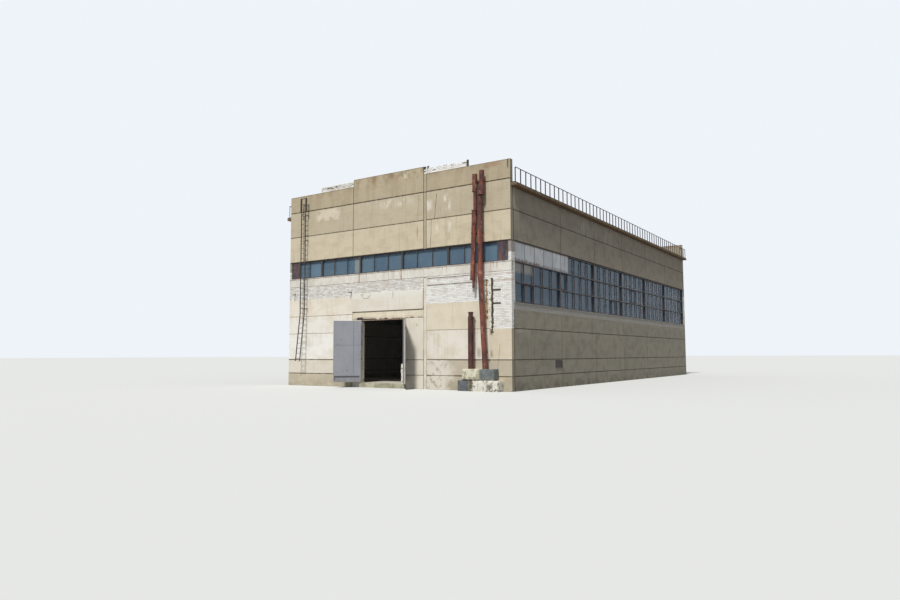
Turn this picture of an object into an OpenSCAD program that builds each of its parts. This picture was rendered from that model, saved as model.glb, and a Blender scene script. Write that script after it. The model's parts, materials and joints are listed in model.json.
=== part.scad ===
// Hall of a factory: three gable bays wide, precast wall panels on columns,
// ribbon windows, an open two-leaf gate, a roof ladder and old drain pipes.
// Origin: centre of the plan, at ground level. The front gable faces -Y.

/* [Plan] */
// Width of one gable bay
bay_w = 6000; // [4800:100:7200]
// Length of one inner side bay
side_bay = 6000; // [4800:100:6300]
// Length of the first and last side bay
end_bay = 6900; // [6000:100:7500]
// Number of inner side bays
inner_bays = 4; // [2:1:4]
// Thickness of the wall panels
wall_t = 300; // [200:10:400]
// Open joint between panels
joint = 20; // [10:1:40]
// Width of the filler strip beside the right bay
filler_w = 220; // [120:10:300]
// How far the filler strip reaches past the right bay's joint line
filler_past = 44; // [0:1:60]
// Width of the chamfer round a panel's outer face
chamfer = 15; // [5:1:30]

/* [Levels above the floor] */
// Floor above the ground
floor_h = 300; // [200:10:450]
// Top of the plinth panels
plinth_top = 550; // [400:10:700]
// Top of the first row of panels
row1_top = 1500; // [1200:10:1700]
// Top of the second row of panels
row2_top = 3300; // [3000:10:3500]
// Top of the third row in the left bay
row3_top = 4500; // [4200:10:4700]
// Top of the fourth row in the left bay
row4_top = 5700; // [5500:10:5800]
// Top of the third row in the right bay
right_row3_top = 4950; // [4600:10:5200]
// Underside of the white sheet band
band_z = 6600; // [6400:10:6800]
// Sill of the gable ribbon window
sill_z = 7200; // [7000:10:7400]
// Head of all ribbon windows
head_z = 8400; // [8200:10:8600]
// Joint between the two rows of upper panels
upper_joint_z = 10200; // [9900:10:10500]
// Top of the gable's upper panels
upper_top_z = 12000; // [11950:10:12300]
// Top of the side walls, under the cornice
side_top_z = 11560; // [11400:10:11800]
// Sill of the side ribbon windows
side_sill_z = 4800; // [4700:10:5000]
// Top of the third row of side panels
side_row3_top = 4400; // [4200:10:4600]

/* [Parapets] */
// Height of the parapets of the outer bays
parapet_h = 1170; // [900:10:1300]
// Height of the middle parapet
mid_parapet_h = 1650; // [1200:10:1900]
// Height of the brick upstands
upstand_h = 370; // [150:10:500]
// Thickness of the brick upstands
upstand_t = 250; // [120:10:280]
// Length of the left upstand
upstand_left_l = 3000; // [1500:50:4500]
// Length of the right upstand
upstand_right_l = 2950; // [1500:50:4500]

/* [Gate] */
// Clear width between the jambs
gate_w = 3600; // [3000:50:4200]
// Clear height above the floor
gate_h = 4050; // [3600:10:4100]
// Distance of the gate's centre from the middle of the gable
gate_x = -400; // [-500:10:300]
// Thickness of the steel lining
lining_t = 50; // [20:5:80]
// Top of the lintel beam
beam_top = 4650; // [4500:10:4750]
// Top of the proud lintel panel
lintel_top = 5850; // [5700:10:6000]
// How far the lintel panel stands proud
lintel_proud = 60; // [20:5:120]
// Thickness of a leaf frame
leaf_t = 60; // [40:5:80]
// Thickness of the leaf sheet
leaf_sheet_t = 4; // [2:1:8]
// Width of a leaf frame's bars
frame_bar = 80; // [50:5:120]
// Gap under a leaf
leaf_gap_z = 50; // [20:5:100]
// Gap over a leaf
leaf_gap_top = 15; // [8:1:30]
// Gap between a leaf and the jamb, and between the leaves
leaf_gap = 10; // [8:1:20]
// Height of the left sheet's lower edge above the floor
left_sheet_z = 450; // [60:10:600]
// How far the left leaf stands open
left_open = 135; // [0:1:170]
// How far the right leaf stands open
right_open = 130; // [0:1:170]
// Distance of the hinge axis in front of the wall
hinge_out = 40; // [30:1:60]
// Radius of the hinge knuckles
knuckle_r = 24; // [15:1:28]
// Height of a knuckle
knuckle_h = 120; // [80:5:200]
// Distance of the outer hinges from the floor and from the gate's head
hinge_in = 450; // [250:10:700]
// Radius of the hinge pins
pin_r = 12; // [8:1:14]
// How far the threshold stands out
threshold_out = 120; // [50:10:250]
// Width of the wheel guard
guard_w = 260; // [200:10:400]
// Height of the wheel guard
guard_h = 1250; // [600:10:1500]
// Gap between the closed leaf and the wheel guard
guard_gap = 32; // [10:1:60]
// Distance of the wheel guard from the right jamb
guard_in = 190; // [0:10:300]

/* [Frame of the hall] */
// Width of a column
column_w = 400; // [300:10:500]
// Depth of a corner column along the side
corner_column_l = 800; // [700:10:1000]
// Depth of a girder at the eaves
girder_eave_h = 900; // [700:10:1100]
// Width of a girder's flanges
girder_w = 300; // [200:10:400]
// Thickness of a girder's web
web_t = 100; // [80:5:150]
// Depth of a girder's flanges
flange_h = 160; // [100:10:220]
// Depth of the ribbed roof slabs
roof_t = 250; // [200:10:300]
// Roof slabs beside each other on one side of the ridge
slabs_across = 3; // [2:1:4]
// Thickness of a roof slab between its ribs
slab_t = 50; // [30:5:80]
// Width of a roof slab's ribs
rib_w = 100; // [80:5:140]
// Open joint between roof slabs
slab_gap = 10; // [5:1:20]
// Thickness of the roofing
felt_t = 50; // [20:5:80]
// Rise of the roof towards the ridge for each millimetre across
roof_pitch = 0.08; // [0.04:0.01:0.12]

/* [Windows] */
// Width of a frame bar
bar_w = 60; // [40:5:80]
// Depth of a frame
frame_d = 120; // [80:5:160]
// How far the frames stand back from the wall face
frame_back = 60; // [20:5:100]
// Length of a window frame of the gables
gable_frame_l = 3510; // [3000:10:4000]
// Thickness of the glass
glass_t = 12; // [6:1:20]
// Width of the white brick corner piers on the gable
pier_w = 380; // [310:10:500]
// Length of the corner piers on the side walls
pier_l = 450; // [350:10:600]
// Length of the rusted end sheets
end_sheet_w = 500; // [300:10:700]
// How far the brickwork stands back from the panels
brick_back = 20; // [0:5:40]
// Width of the brick corner in the right bay
brick_corner_w = 1400; // [1000:50:1900]
// Thickness of the white sheets
sheet_t = 40; // [10:5:60]
// Thickness of the white sheet band
band_t = 160; // [80:10:200]
// Units in a bay
units = 5; // [4:1:6]
// Number of side units closed by white sheets
sheet_units = 6; // [1:1:8]

/* [Roof edge] */
// Thickness of the cornice slab
cornice_t = 200; // [120:10:250]
// How far the cornice slab stands out
cornice_out = 350; // [200:10:600]
// Height of the railing above the cornice
rail_h = 880; // [700:10:1100]
// Distance between railing posts
post_step = 670; // [500:10:1000]
// Thickness of railing posts and rails
rail_t = 30; // [20:1:50]
// Width of the cornice slab's drip nose and of the groove behind it
drip_w = 40; // [20:5:60]
// Length of the corner broken off the front right cornice slab
broken_corner_l = 120; // [50:10:300]

/* [Roof ladder] */
// Distance of the ladder's centre from the left corner
ladder_in = 1600; // [800:10:2500]
// Width between the stringers' centres
ladder_w = 400; // [350:10:700]
// Distance of the stringers from the wall
ladder_out = 300; // [200:10:400]
// Thickness of a stringer
stringer_t = 50; // [30:5:70]
// Distance between rungs
rung_step = 350; // [250:10:450]
// Thickness of a rung
rung_t = 25; // [16:1:40]
// Height of the ladder's foot above the floor
ladder_foot_z = 1400; // [800:10:2000]
// Height above the floor at which the ladder is bent out
ladder_bend_z = 4700; // [2800:10:5000]
// Length of the grab rails beside the ladder's top
grab_h = 1000; // [600:10:1300]
// Gap between a stringer and its grab rail
grab_gap = 30; // [10:5:60]
// How far the foot is bent out
ladder_foot_out = 380; // [0:10:700]
// How far the ladder's top reaches past the upper panels
ladder_past = 880; // [500:10:1100]

/* [Pipes] */
// Distance of the pipes' centres from the wall
pipe_out = 340; // [280:10:450]
// Wall of all pipes
pipe_wall = 8; // [5:1:15]
// How far a pipe's collars stand out
collar_out = 20; // [10:1:24]
// Height of a pipe's collars
collar_h = 60; // [30:5:120]
// Height of a wall strap
strap_h = 80; // [40:5:120]
// Thickness of a wall strap
strap_t = 12; // [8:1:14]
// Height of the lower straps above the window heads
low_strap = 500; // [200:10:900]
// Gap between the broken pipe and the leaning pipe
pipe_gap = 30; // [30:1:80]
// Radius of the broken pipe
broken_r = 150; // [120:5:160]
// How far the broken pipe's lower length is set to the left at its top
broken_step = 40; // [0:5:60]
// How far that length leans to the left at its lower end
broken_lean = 150; // [0:10:200]
// How far its thinner length is set to the right
broken_thin_step = 30; // [0:5:40]
// Radius of the broken pipe's thinner length
broken_thin_r = 125; // [100:5:150]
// Lower end of the broken pipe above the floor
broken_z = 6150; // [5800:10:6500]
// How far the broken pipe's top reaches past the upper panels
broken_past = 450; // [0:10:800]
// Length of the broken pipe's top piece
broken_top_l = 1000; // [600:10:1400]
// Length of its thinner piece
broken_thin_l = 1150; // [800:10:1500]
// Radius of the stub below the broken pipe
stub_r = 70; // [50:5:90]
// Length of that stub
stub_l = 450; // [200:10:700]
// How far the stub is set to the right of that length's centre
stub_step = 60; // [0:5:70]
// Centre of the leaning pipe from the right corner
long_x = 1860; // [1800:10:1900]
// How far its top piece is set to the right
long_step = 140; // [0:10:200]
// Radius of the leaning pipe
long_r = 150; // [120:5:165]
// How far the leaning pipe's top reaches past the upper panels
long_past = 620; // [0:10:900]
// Length of its top piece
long_top_l = 1330; // [900:10:1700]
// Height of the bell between its two pieces
bell_h = 260; // [150:10:400]
// Height above the floor at which it starts to lean
long_bend_z = 6500; // [5500:10:6900]
// How far its foot leans to the right
long_lean = 280; // [0:10:300]
// Centre of the short pipe from the right corner
short_x = 2530; // [2500:10:2800]
// Radius of the short pipe
short_r = 165; // [120:5:180]
// Top of the short pipe above the floor
short_top = 4290; // [3000:10:4500]
// Length of the short pipe's narrow head
short_head_l = 270; // [150:10:500]
// How much narrower that head is, in radius
short_head_in = 30; // [15:5:50]

/* [Concrete blocks] */
// Height of the upper block's top above the floor
block_top = 980; // [800:10:1100]
// Height of the upper block
block_h = 640; // [400:10:700]
// Depth of the blocks
block_d = 620; // [560:10:900]
// How far the upper block reaches past the leaning pipe's foot
block_past_long = 580; // [100:10:700]
// How far it reaches past the short pipe
block_past_short = 300; // [100:10:500]
// How far the right lower block reaches past the upper one
lower_block_out = 290; // [0:10:400]
// Length of the right lower block
lower_block_l = 1320; // [1000:10:1500]
// Length of the left lower block
left_block_l = 1400; // [1200:10:1600]
// Gap between the lower blocks
block_gap = 20; // [5:5:60]
// How far the right lower block stands forward of the others
block_step = 80; // [0:10:150]
// Chamfer along the blocks' edges
block_chamfer = 25; // [10:5:40]

/* [Small pieces] */
// Length of a wall bracket
bracket_l = 300; // [150:10:400]
// Height of the left bracket above the floor
left_bracket_z = 6100; // [5900:10:6400]
// Distance of the left bracket from the left corner
left_bracket_in = 560; // [300:10:900]
// Height of the right bracket above the floor
right_bracket_z = 6000; // [5900:10:6400]
// Distance of the right bracket from the left bay's joint
right_bracket_in = 120; // [80:10:900]
// Width of a bracket's wall plate
bracket_plate = 120; // [80:5:160]
// Thickness of a bracket's wall plate
bracket_t = 12; // [8:1:20]
// Width of a bracket's arm
bracket_arm = 50; // [30:5:80]
// Width of the vent
vent_w = 1000; // [600:10:1100]
// Height of the vent
vent_h = 500; // [300:10:600]
// How far the vent's frame stands out
vent_out = 30; // [15:5:60]
// Distance of the vent's centre from the front
vent_y = 6300; // [5500:10:6350]
// Height of the vent's sill above the floor
vent_z = 950; // [600:10:980]
// Width of the vent's frame bars
vent_bar = 50; // [30:5:80]
// Number of louvres
louvres = 6; // [3:1:9]
// Thickness of a louvre
louvre_t = 4; // [3:1:8]

/* [Hidden] */

hall_w = 3 * bay_w;
hall_l = 2 * end_bay + inner_bays * side_bay;
front_y = -hall_l / 2;
inner_y = front_y + wall_t;
side_x = hall_w / 2;
inner_x = side_x - wall_t;
right_bay_x = bay_w / 2 + filler_past;
filler_x = right_bay_x - filler_w;
// Bays of the front gable and of the rear gable, between their joint lines
front_bays = [[-side_x, -bay_w / 2], [-bay_w / 2, filler_x], [right_bay_x, side_x]];
rear_bays = [[-side_x, -bay_w / 2], [-bay_w / 2, bay_w / 2], [bay_w / 2, side_x]];
// Joint lines of the side walls, from front to rear
side_lines = concat([front_y + wall_t],
    [for (i = [0 : inner_bays]) front_y + end_bay + i * side_bay],
    [hall_l / 2 - wall_t]);
brick_corner_x = side_x - brick_corner_w;
gate_l = gate_x - gate_w / 2;
gate_r = gate_x + gate_w / 2;
girder_z = floor_h + side_top_z + cornice_t - felt_t - roof_t - girder_eave_h;
slab_eave_z = girder_z + girder_eave_h;
ridge_z = slab_eave_z + roof_pitch * inner_x;
column_top = girder_z;
frame_y = front_y + frame_back;
ladder_x = -side_x + ladder_in;
pipe_y = front_y - pipe_out;
broken_x = long_x + long_r + broken_r + pipe_gap;
broken_top = upper_top_z + broken_past;
long_top = upper_top_z + long_past;
ladder_top_z = upper_top_z + ladder_past;

function z(level) = floor_h + level;
function roof_z(x) = slab_eave_z + roof_pitch * (inner_x - abs(x));

// A box between two corners
module box(a, b) translate(a) cube(b - a);

// A wall panel between two corners; its outer face, with chamfered edges, looks to -Y
module slab(a, b) intersection() {
    translate([0, 0, a[2]]) linear_extrude(b[2] - a[2])
        polygon([[a[0], b[1]], [a[0], a[1] + chamfer], [a[0] + chamfer, a[1]],
            [b[0] - chamfer, a[1]], [b[0], a[1] + chamfer], [b[0], b[1]]]);
    rotate([90, 0, 90]) translate([0, 0, a[0]]) linear_extrude(b[0] - a[0])
        polygon([[b[1], a[2]], [a[1] + chamfer, a[2]], [a[1], a[2] + chamfer],
            [a[1], b[2] - chamfer], [a[1] + chamfer, b[2]], [b[1], b[2]]]);
}

// A gable panel between two joint lines, with an open joint at its top
module gable_panel(x0, x1, z0, z1, proud = 0)
    slab([x0 + joint / 2, front_y - proud, z0], [x1 - joint / 2, inner_y, z1 - joint]);

// A panel of the right side wall between two joint lines
module side_panel(y0, y1, z0, z1)
    rotate(90) slab([y0 + joint / 2, -side_x, z0], [y1 - joint / 2, -inner_x, z1 - joint]);

// Rows of gable panels in one bay
module gable_rows(x0, x1, levels)
    for (i = [0 : len(levels) - 2]) gable_panel(x0, x1, levels[i], levels[i + 1]);

module side_rows(levels)
    for (b = [0 : len(side_lines) - 2], i = [0 : len(levels) - 2])
        side_panel(side_lines[b], side_lines[b + 1], levels[i], levels[i + 1]);

module to_rear() mirror([0, 1, 0]) children();
module to_left() mirror([1, 0, 0]) children();
module both_ends() { children(); to_rear() children(); }
module both_sides() { children(); to_left() children(); }

module floor_slab() color("dimgray")
    box([-inner_x, inner_y, 0], [inner_x, -inner_y, floor_h]);

module gate_threshold() color("gainsboro")
    box([gate_l - lining_t, front_y - threshold_out, 0], [gate_r + lining_t, inner_y, floor_h]);

module columns() color("lightgray") {
    for (y = [for (i = [1 : len(side_lines) - 2]) side_lines[i]]) both_sides()
        box([inner_x - column_w, y - column_w / 2, floor_h], [inner_x, y + column_w / 2, column_top]);
    both_ends() both_sides() {
        box([inner_x - column_w, inner_y, floor_h], [inner_x, inner_y + corner_column_l, column_top]);
        box([bay_w / 2 - column_w / 2, inner_y, floor_h],
            [bay_w / 2 + column_w / 2, inner_y + column_w, roof_z(bay_w / 2 + column_w / 2)]);
    }
}

// A double-pitched girder: a web between two flanges, with solid ends on the columns
module girder() rotate([90, 0, 0]) {
    linear_extrude(web_t, center = true)
        polygon([[-inner_x, girder_z], [inner_x, girder_z], [inner_x, slab_eave_z],
            [0, ridge_z], [-inner_x, slab_eave_z]]);
    linear_extrude(girder_w, center = true) {
        translate([-inner_x, girder_z]) square([2 * inner_x, flange_h]);
        both_sides() {
            pitched(0, inner_x, -flange_h, flange_h);
            translate([inner_x - column_w, girder_z]) square([column_w, girder_eave_h]);
        }
    }
}

module roof_girders() color("lightgray") {
    for (i = [1 : len(side_lines) - 2]) translate([0, side_lines[i], 0]) girder();
    both_ends() translate([0, inner_y + column_w + girder_w / 2, 0]) girder();
}

// The outline of a pitched layer from x0 to x1, z0 above the girders and t thick
module pitched(x0, x1, z0, t) polygon([[x0, roof_z(x0) + z0], [x1, roof_z(x1) + z0],
    [x1, roof_z(x1) + z0 + t], [x0, roof_z(x0) + z0 + t]]);

slab_w = inner_x / slabs_across;

// A roof slab from y0 to y1: a thin plate on ribs along all four edges
module roof_slab(x0, y0, y1) translate([0, y1, 0]) rotate([90, 0, 0]) {
    x1 = x0 + slab_w - slab_gap / 2;
    difference() {
        linear_extrude(y1 - y0) pitched(x0 + slab_gap / 2, x1, 0, roof_t);
        translate([0, 0, rib_w]) linear_extrude(y1 - y0 - 2 * rib_w)
            pitched(x0 + slab_gap / 2 + rib_w, x1 - rib_w, -slab_t, roof_t);
    }
}

module roof_slabs() color("silver") both_sides()
    for (i = [0 : slabs_across - 1], b = [0 : len(side_lines) - 2])
        roof_slab(i * slab_w, side_lines[b] + slab_gap / 2, side_lines[b + 1] - slab_gap / 2);

module roofing() color("darkslategray") both_sides()
    rotate([90, 0, 0]) linear_extrude(-2 * inner_y, center = true)
        pitched(slab_gap / 2, inner_x, roof_t, felt_t);

module front_left_panels() color("wheat")
    gable_rows(-side_x, -bay_w / 2,
        [0, z(plinth_top), z(row1_top), z(row2_top), z(row3_top), z(row4_top)]);

module front_right_panels() color("wheat") {
    gable_rows(right_bay_x, side_x, [0, z(plinth_top), z(row1_top), z(row2_top)]);
    gable_panel(right_bay_x, brick_corner_x, z(row2_top), z(right_row3_top));
}

module gate_side_panels() color("wheat")
    for (e = [[-bay_w / 2 + joint / 2, gate_l - lining_t], [gate_r + lining_t, filler_x - joint / 2]],
        r = [[0, z(plinth_top)], [z(plinth_top), z(row1_top)],
            [z(row1_top), z(gate_h) + lining_t + joint]])
        slab([e[0], front_y, r[0]], [e[1], inner_y, r[1] - joint]);

module gate_beam() color("tan")
    slab([-bay_w / 2 + joint / 2, front_y, z(gate_h) + lining_t],
        [filler_x - joint / 2, inner_y, z(beam_top) - joint]);

module gate_lintel_panel() color("wheat")
    gable_panel(-bay_w / 2, filler_x, z(beam_top), z(lintel_top), lintel_proud);

// The jamb's half of a hinge: a plate, a knuckle and a pin that stands up from it
module jamb_hinge(x, s, h) translate([x, axis_y, z(h) - knuckle_h / 2]) {
    cylinder(r = knuckle_r, h = knuckle_h / 2 - hinge_play, $fn = 48);
    translate([s > 0 ? 0 : -lining_t, 0, 0]) cube([lining_t, hinge_out, knuckle_h / 2 - hinge_play]);
    cylinder(r = pin_r, h = knuckle_h, $fn = 48);
}

module gate_lining() color("saddlebrown") {
    difference() {
        box([gate_l - lining_t, front_y, floor_h], [gate_r + lining_t, inner_y, z(gate_h) + lining_t]);
        box([gate_l, front_y - 1, floor_h - 1], [gate_r, inner_y + 1, z(gate_h)]);
    }
    for (h = hinge_levels) {
        jamb_hinge(gate_l, -1, h);
        jamb_hinge(gate_r, 1, h);
    }
}

module front_filler_strip() color("gainsboro")
    for (r = [[0, z(band_z)], [z(head_z), z(upper_top_z) + parapet_h]])
        box([filler_x + joint / 2, front_y + brick_back, r[0]],
            [right_bay_x - joint / 2, inner_y, r[1] - joint]);

// Brickwork that fills a gable from x0 to x1, seated on the panels below
module gable_brick(x0, x1, z0, z1)
    box([x0, front_y + brick_back, z0 - joint], [x1, inner_y, z1]);

module front_brickwork() color("whitesmoke") {
    gable_brick(-side_x, -bay_w / 2 - joint / 2, z(row4_top), z(band_z));
    gable_brick(-bay_w / 2 + joint / 2, filler_x - joint / 2, z(lintel_top), z(band_z));
    gable_brick(right_bay_x + joint / 2, side_x, z(right_row3_top), z(band_z));
    gable_brick(brick_corner_x, side_x, z(row2_top), z(band_z));
}

module sheet_band() color("white")
    box([-side_x, front_y + joint / 2, z(band_z)], [side_x, front_y + joint / 2 + band_t, z(sill_z)]);

module front_sheet_band() sheet_band();

// A frame of the front ribbon window, between x0 and x1
module gable_frame(x0, x1) difference() {
    box([x0, frame_y, z(sill_z)], [x1, frame_y + frame_d, z(head_z)]);
    box([x0 + bar_w, frame_y - 1, z(sill_z) + bar_w], [x1 - bar_w, frame_y + frame_d + 1, z(head_z) - bar_w]);
}

ribbon_x = side_x - pier_w - end_sheet_w;

// The frames stand in a row from the right end; the last one is cut to what is left
module gable_window_frames() color("slategray") both_ends()
    for (i = [0 : ceil(2 * ribbon_x / gable_frame_l) - 1])
        gable_frame(max(-ribbon_x, ribbon_x - (i + 1) * gable_frame_l + joint / 2),
            ribbon_x - i * gable_frame_l);

module gable_window_glass() color("lightskyblue", 0.5) both_ends()
    box([-ribbon_x, frame_y + frame_d, z(sill_z)], [ribbon_x, frame_y + frame_d + glass_t, z(head_z)]);

module window_end_sheets() color("rosybrown") both_ends() both_sides()
    box([ribbon_x, frame_y, z(sill_z)], [side_x - pier_w, frame_y + sheet_t, z(head_z)]);

module corner_piers() color("white") both_ends() both_sides() {
    box([side_x - pier_w, front_y + brick_back, z(sill_z)], [side_x, inner_y, z(head_z)]);
    box([inner_x, inner_y, z(side_row3_top) - joint], [side_x, front_y + pier_l, z(head_z)]);
}

module upper_gable_panels(bays)
    for (b = bays) gable_rows(b[0], b[1], [z(head_z), z(upper_joint_z), z(upper_top_z)]);

module front_upper_panels() color("tan") upper_gable_panels(front_bays);

module gable_parapet(bays)
    for (i = [0 : 2])
        gable_panel(bays[i][0], bays[i][1], z(upper_top_z),
            z(upper_top_z) + (i == 1 ? mid_parapet_h : parapet_h));

module front_parapet() color("tan") gable_parapet(front_bays);

module parapet_upstands() color("whitesmoke") {
    base = z(upper_top_z) + parapet_h - joint;
    y1 = inner_y - brick_back;
    box([-bay_w / 2 - joint / 2 - upstand_left_l, y1 - upstand_t, base],
        [-bay_w / 2 - joint / 2, y1, base + upstand_h]);
    box([right_bay_x + joint / 2, y1 - upstand_t, base],
        [right_bay_x + joint / 2 + upstand_right_l, y1, base + upstand_h]);
}

module lower_side_panels()
    side_rows([0, z(plinth_top), z(row1_top), z(row2_top), z(side_row3_top)]);

module upper_side_panels()
    side_rows([z(head_z), z(upper_joint_z), z(side_top_z)]);

module right_lower_panels() color("tan") lower_side_panels();
module right_upper_panels() color("tan") upper_side_panels();
module left_lower_panels() color("tan") to_left() lower_side_panels();
module left_upper_panels() color("tan") to_left() upper_side_panels();

side_window_y = front_y + pier_l;

module side_brick_courses() color("whitesmoke") both_sides()
    box([inner_x, side_window_y, z(side_row3_top) - joint],
        [side_x - brick_back, -side_window_y, z(side_sill_z)]);

// Joint lines of the side windows, from front to rear
window_lines = concat([side_window_y], [for (i = [1 : len(side_lines) - 2]) side_lines[i]],
    [-side_window_y]);

// A frame of the right ribbon window, with three rows of lights
module side_frame(y0, y1) {
    row_h = (head_z - side_sill_z) / 3;
    x1 = side_x - frame_back;
    difference() {
        box([x1 - frame_d, y0, z(side_sill_z)], [x1, y1, z(head_z)]);
        for (i = [0 : 2])
            box([x1 - frame_d - 1, y0 + bar_w, z(side_sill_z) + i * row_h + (i == 0 ? bar_w : bar_w / 2)],
                [x1 + 1, y1 - bar_w, z(side_sill_z) + (i + 1) * row_h - (i == 2 ? bar_w : bar_w / 2)]);
    }
}

module side_window_frames() color("slategray") both_sides()
    for (i = [0 : len(window_lines) - 2])
        side_frame(window_lines[i] + (i == 0 ? 0 : joint / 2),
            window_lines[i + 1] - (i == len(window_lines) - 2 ? 0 : joint / 2));

module side_window_glass() color("lightskyblue", 0.5) both_sides()
    box([side_x - frame_back - frame_d - glass_t, side_window_y, z(side_sill_z)],
        [side_x - frame_back - frame_d, -side_window_y, z(head_z)]);

// Width of one unit in the first and in the inner bays of the side window
unit_first = (side_lines[1] - side_window_y) / units;
unit_inner = side_bay / units;
sheets_z = head_z - (head_z - side_sill_z) / 3;

module side_window_sheets() color("white")
    for (i = [0 : sheet_units - 1]) {
        y0 = i < units ? side_window_y + i * unit_first : side_lines[1] + (i - units) * unit_inner;
        w = i < units ? unit_first : unit_inner;
        box([side_x - frame_back, y0 + joint / 2, z(sheets_z)],
            [side_x - frame_back + sheet_t, y0 + w - joint / 2, z(head_z)]);
    }

module rear_lower_panels() color("wheat") to_rear()
    for (b = rear_bays)
        gable_rows(b[0], b[1],
            [0, z(plinth_top), z(row1_top), z(row2_top), z(row3_top), z(row4_top)]);

module rear_brickwork() color("whitesmoke") to_rear()
    gable_brick(-side_x, side_x, z(row4_top), z(band_z));

module rear_sheet_band() to_rear() sheet_band();
module rear_upper_panels() color("tan") to_rear() upper_gable_panels(rear_bays);
module rear_parapet() color("tan") to_rear() gable_parapet(rear_bays);

cornice_top = z(side_top_z) + cornice_t;

cornice_x = side_x + cornice_out;

// The outline of a cornice slab from x0 outwards, with a drip groove behind the nose
module cornice_outline(x0) {
    z0 = z(side_top_z) - joint;
    polygon([[x0, z0], [cornice_x - 2 * drip_w, z0], [cornice_x - 2 * drip_w, z0 + drip_w],
        [cornice_x - drip_w, z0 + drip_w], [cornice_x - drip_w, z0], [cornice_x, z0],
        [cornice_x, cornice_top - drip_w], [cornice_x - drip_w, cornice_top], [x0, cornice_top]]);
}

// Cornice slabs of one bay each; at both ends their outer part runs on past the gable
module cornice_slabs() {
    for (b = [0 : len(side_lines) - 2]) translate([0, side_lines[b + 1] - joint / 2, 0]) rotate([90, 0, 0])
        linear_extrude(side_lines[b + 1] - side_lines[b] - joint / 2) cornice_outline(inner_x);
    both_ends() translate([0, inner_y + 2 * joint, 0]) rotate([90, 0, 0])
        linear_extrude(inner_y - front_y + 2 * joint) cornice_outline(side_x + joint / 2);
}

module eave_cornices() color("darkkhaki") {
    to_left() cornice_slabs();
    difference() {
        cornice_slabs();
        translate([cornice_x, front_y, cornice_top]) rotate(45)
            cube([broken_corner_l * sqrt(2), broken_corner_l * sqrt(2), 3 * cornice_t], center = true);
    }
}

module roof_railings() color("darkslategray") both_sides() {
    x = cornice_x - drip_w - 2 * rail_t;
    n = floor((-2 * front_y - broken_corner_l) / post_step);
    y0 = -n * post_step / 2;
    for (i = [0 : n])
        box([x, y0 + i * post_step - rail_t / 2, cornice_top], [x + rail_t, y0 + i * post_step + rail_t / 2,
            cornice_top + rail_h - rail_t / 2]);
    box([x, y0 - rail_t / 2, cornice_top + rail_h - rail_t],
        [x + rail_t, -y0 + rail_t / 2, cornice_top + rail_h]);
}

ladder_y = front_y - ladder_out;

// Y of the ladder's stringers at a height above the floor
function rung_y(h) = h >= ladder_bend_z ? ladder_y
    : ladder_y - ladder_foot_out * (ladder_bend_z - h) / (ladder_bend_z - ladder_foot_z);

module stringer() rotate([90, 0, 90]) linear_extrude(stringer_t, center = true)
    polygon([[ladder_y - stringer_t / 2, z(ladder_top_z)], [ladder_y - stringer_t / 2, z(ladder_bend_z)],
        [rung_y(ladder_foot_z) - stringer_t / 2, z(ladder_foot_z)],
        [rung_y(ladder_foot_z) + stringer_t / 2, z(ladder_foot_z)],
        [ladder_y + stringer_t / 2, z(ladder_bend_z)], [ladder_y + stringer_t / 2, z(ladder_top_z)]]);

module roof_ladder() color("darkslategray") {
    for (s = [-1, 1]) {
        translate([ladder_x + s * ladder_w / 2, 0, 0]) stringer();
        for (h = [ladder_bend_z + rung_step, upper_joint_z - rung_step, upper_top_z - rung_step])
            translate([ladder_x + s * ladder_w / 2 - rung_t, ladder_y, z(h)])
                cube([2 * rung_t, ladder_out, rung_t]);
    }
    for (h = [ladder_foot_z + rung_step / 2 : rung_step : ladder_top_z - rung_step / 2])
        translate([ladder_x - ladder_w / 2, rung_y(h) - rung_t / 2, z(h)]) cube([ladder_w, rung_t, rung_t]);
    grab_x = ladder_w / 2 + stringer_t + grab_gap;
    for (s = [-1, 1], h = [ladder_top_z - grab_h, ladder_top_z - stringer_t])
        translate([ladder_x + s * (grab_x + ladder_w / 2) / 2, ladder_y, z(h) + stringer_t / 2])
            cube([grab_x - ladder_w / 2, stringer_t, stringer_t], center = true);
    for (s = [-1, 1]) translate([ladder_x + s * grab_x, ladder_y, z(ladder_top_z) - grab_h / 2])
        cube([stringer_t, stringer_t, grab_h], center = true);
}

// A strap round a pipe of radius r, on an arm back to the wall
module pipe_strap(x, h, r) translate([x, pipe_y, z(h)]) {
    cylinder(r = r + strap_t, h = strap_h, $fn = 48);
    translate([-strap_h / 2, 0, 0]) cube([strap_h, pipe_out, strap_h]);
}

// A turned length of pipe between two heights above the floor
module run(r, z0, z1) translate([0, 0, z(z0)]) cylinder(r = r, h = z1 - z0, $fn = 48);

broken_joint = broken_top - broken_top_l;
broken_wide_top = broken_joint - broken_thin_l;
broken_at = side_x - broken_x;
broken_angle = atan(broken_lean / (broken_wide_top - broken_z));
broken_leg = (broken_wide_top - broken_z) / cos(broken_angle);

// X of the broken pipe's leaning length at a height above the floor
function leaning_at(h) = broken_at - broken_step - tan(broken_angle) * (broken_wide_top - h);

// Draws along the leaning length, from its top downwards
module along_broken_leg() translate([broken_at - broken_step, pipe_y, z(broken_wide_top)])
    rotate([0, 180 + broken_angle, 0]) children();

// Three lengths of drain pipe one above the other, and the stub of the length that fell
module broken_lengths(inside, lap = 20) {
    along_broken_leg() {
        translate([0, 0, inside]) cylinder(r = broken_r - inside, h = broken_leg - 2 * inside, $fn = 48);
        translate([-stub_step, 0, broken_leg - inside - 1])
            cylinder(r = stub_r - inside, h = stub_l + 2 * inside + 1, $fn = 48);
    }
    translate([broken_at, pipe_y, 0]) {
        translate([broken_thin_step, 0, 0])
            run(broken_thin_r - inside, broken_wide_top - inside - lap, broken_joint + inside + 1);
        run(broken_r - inside, broken_joint + inside, broken_top + inside);
    }
}

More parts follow.
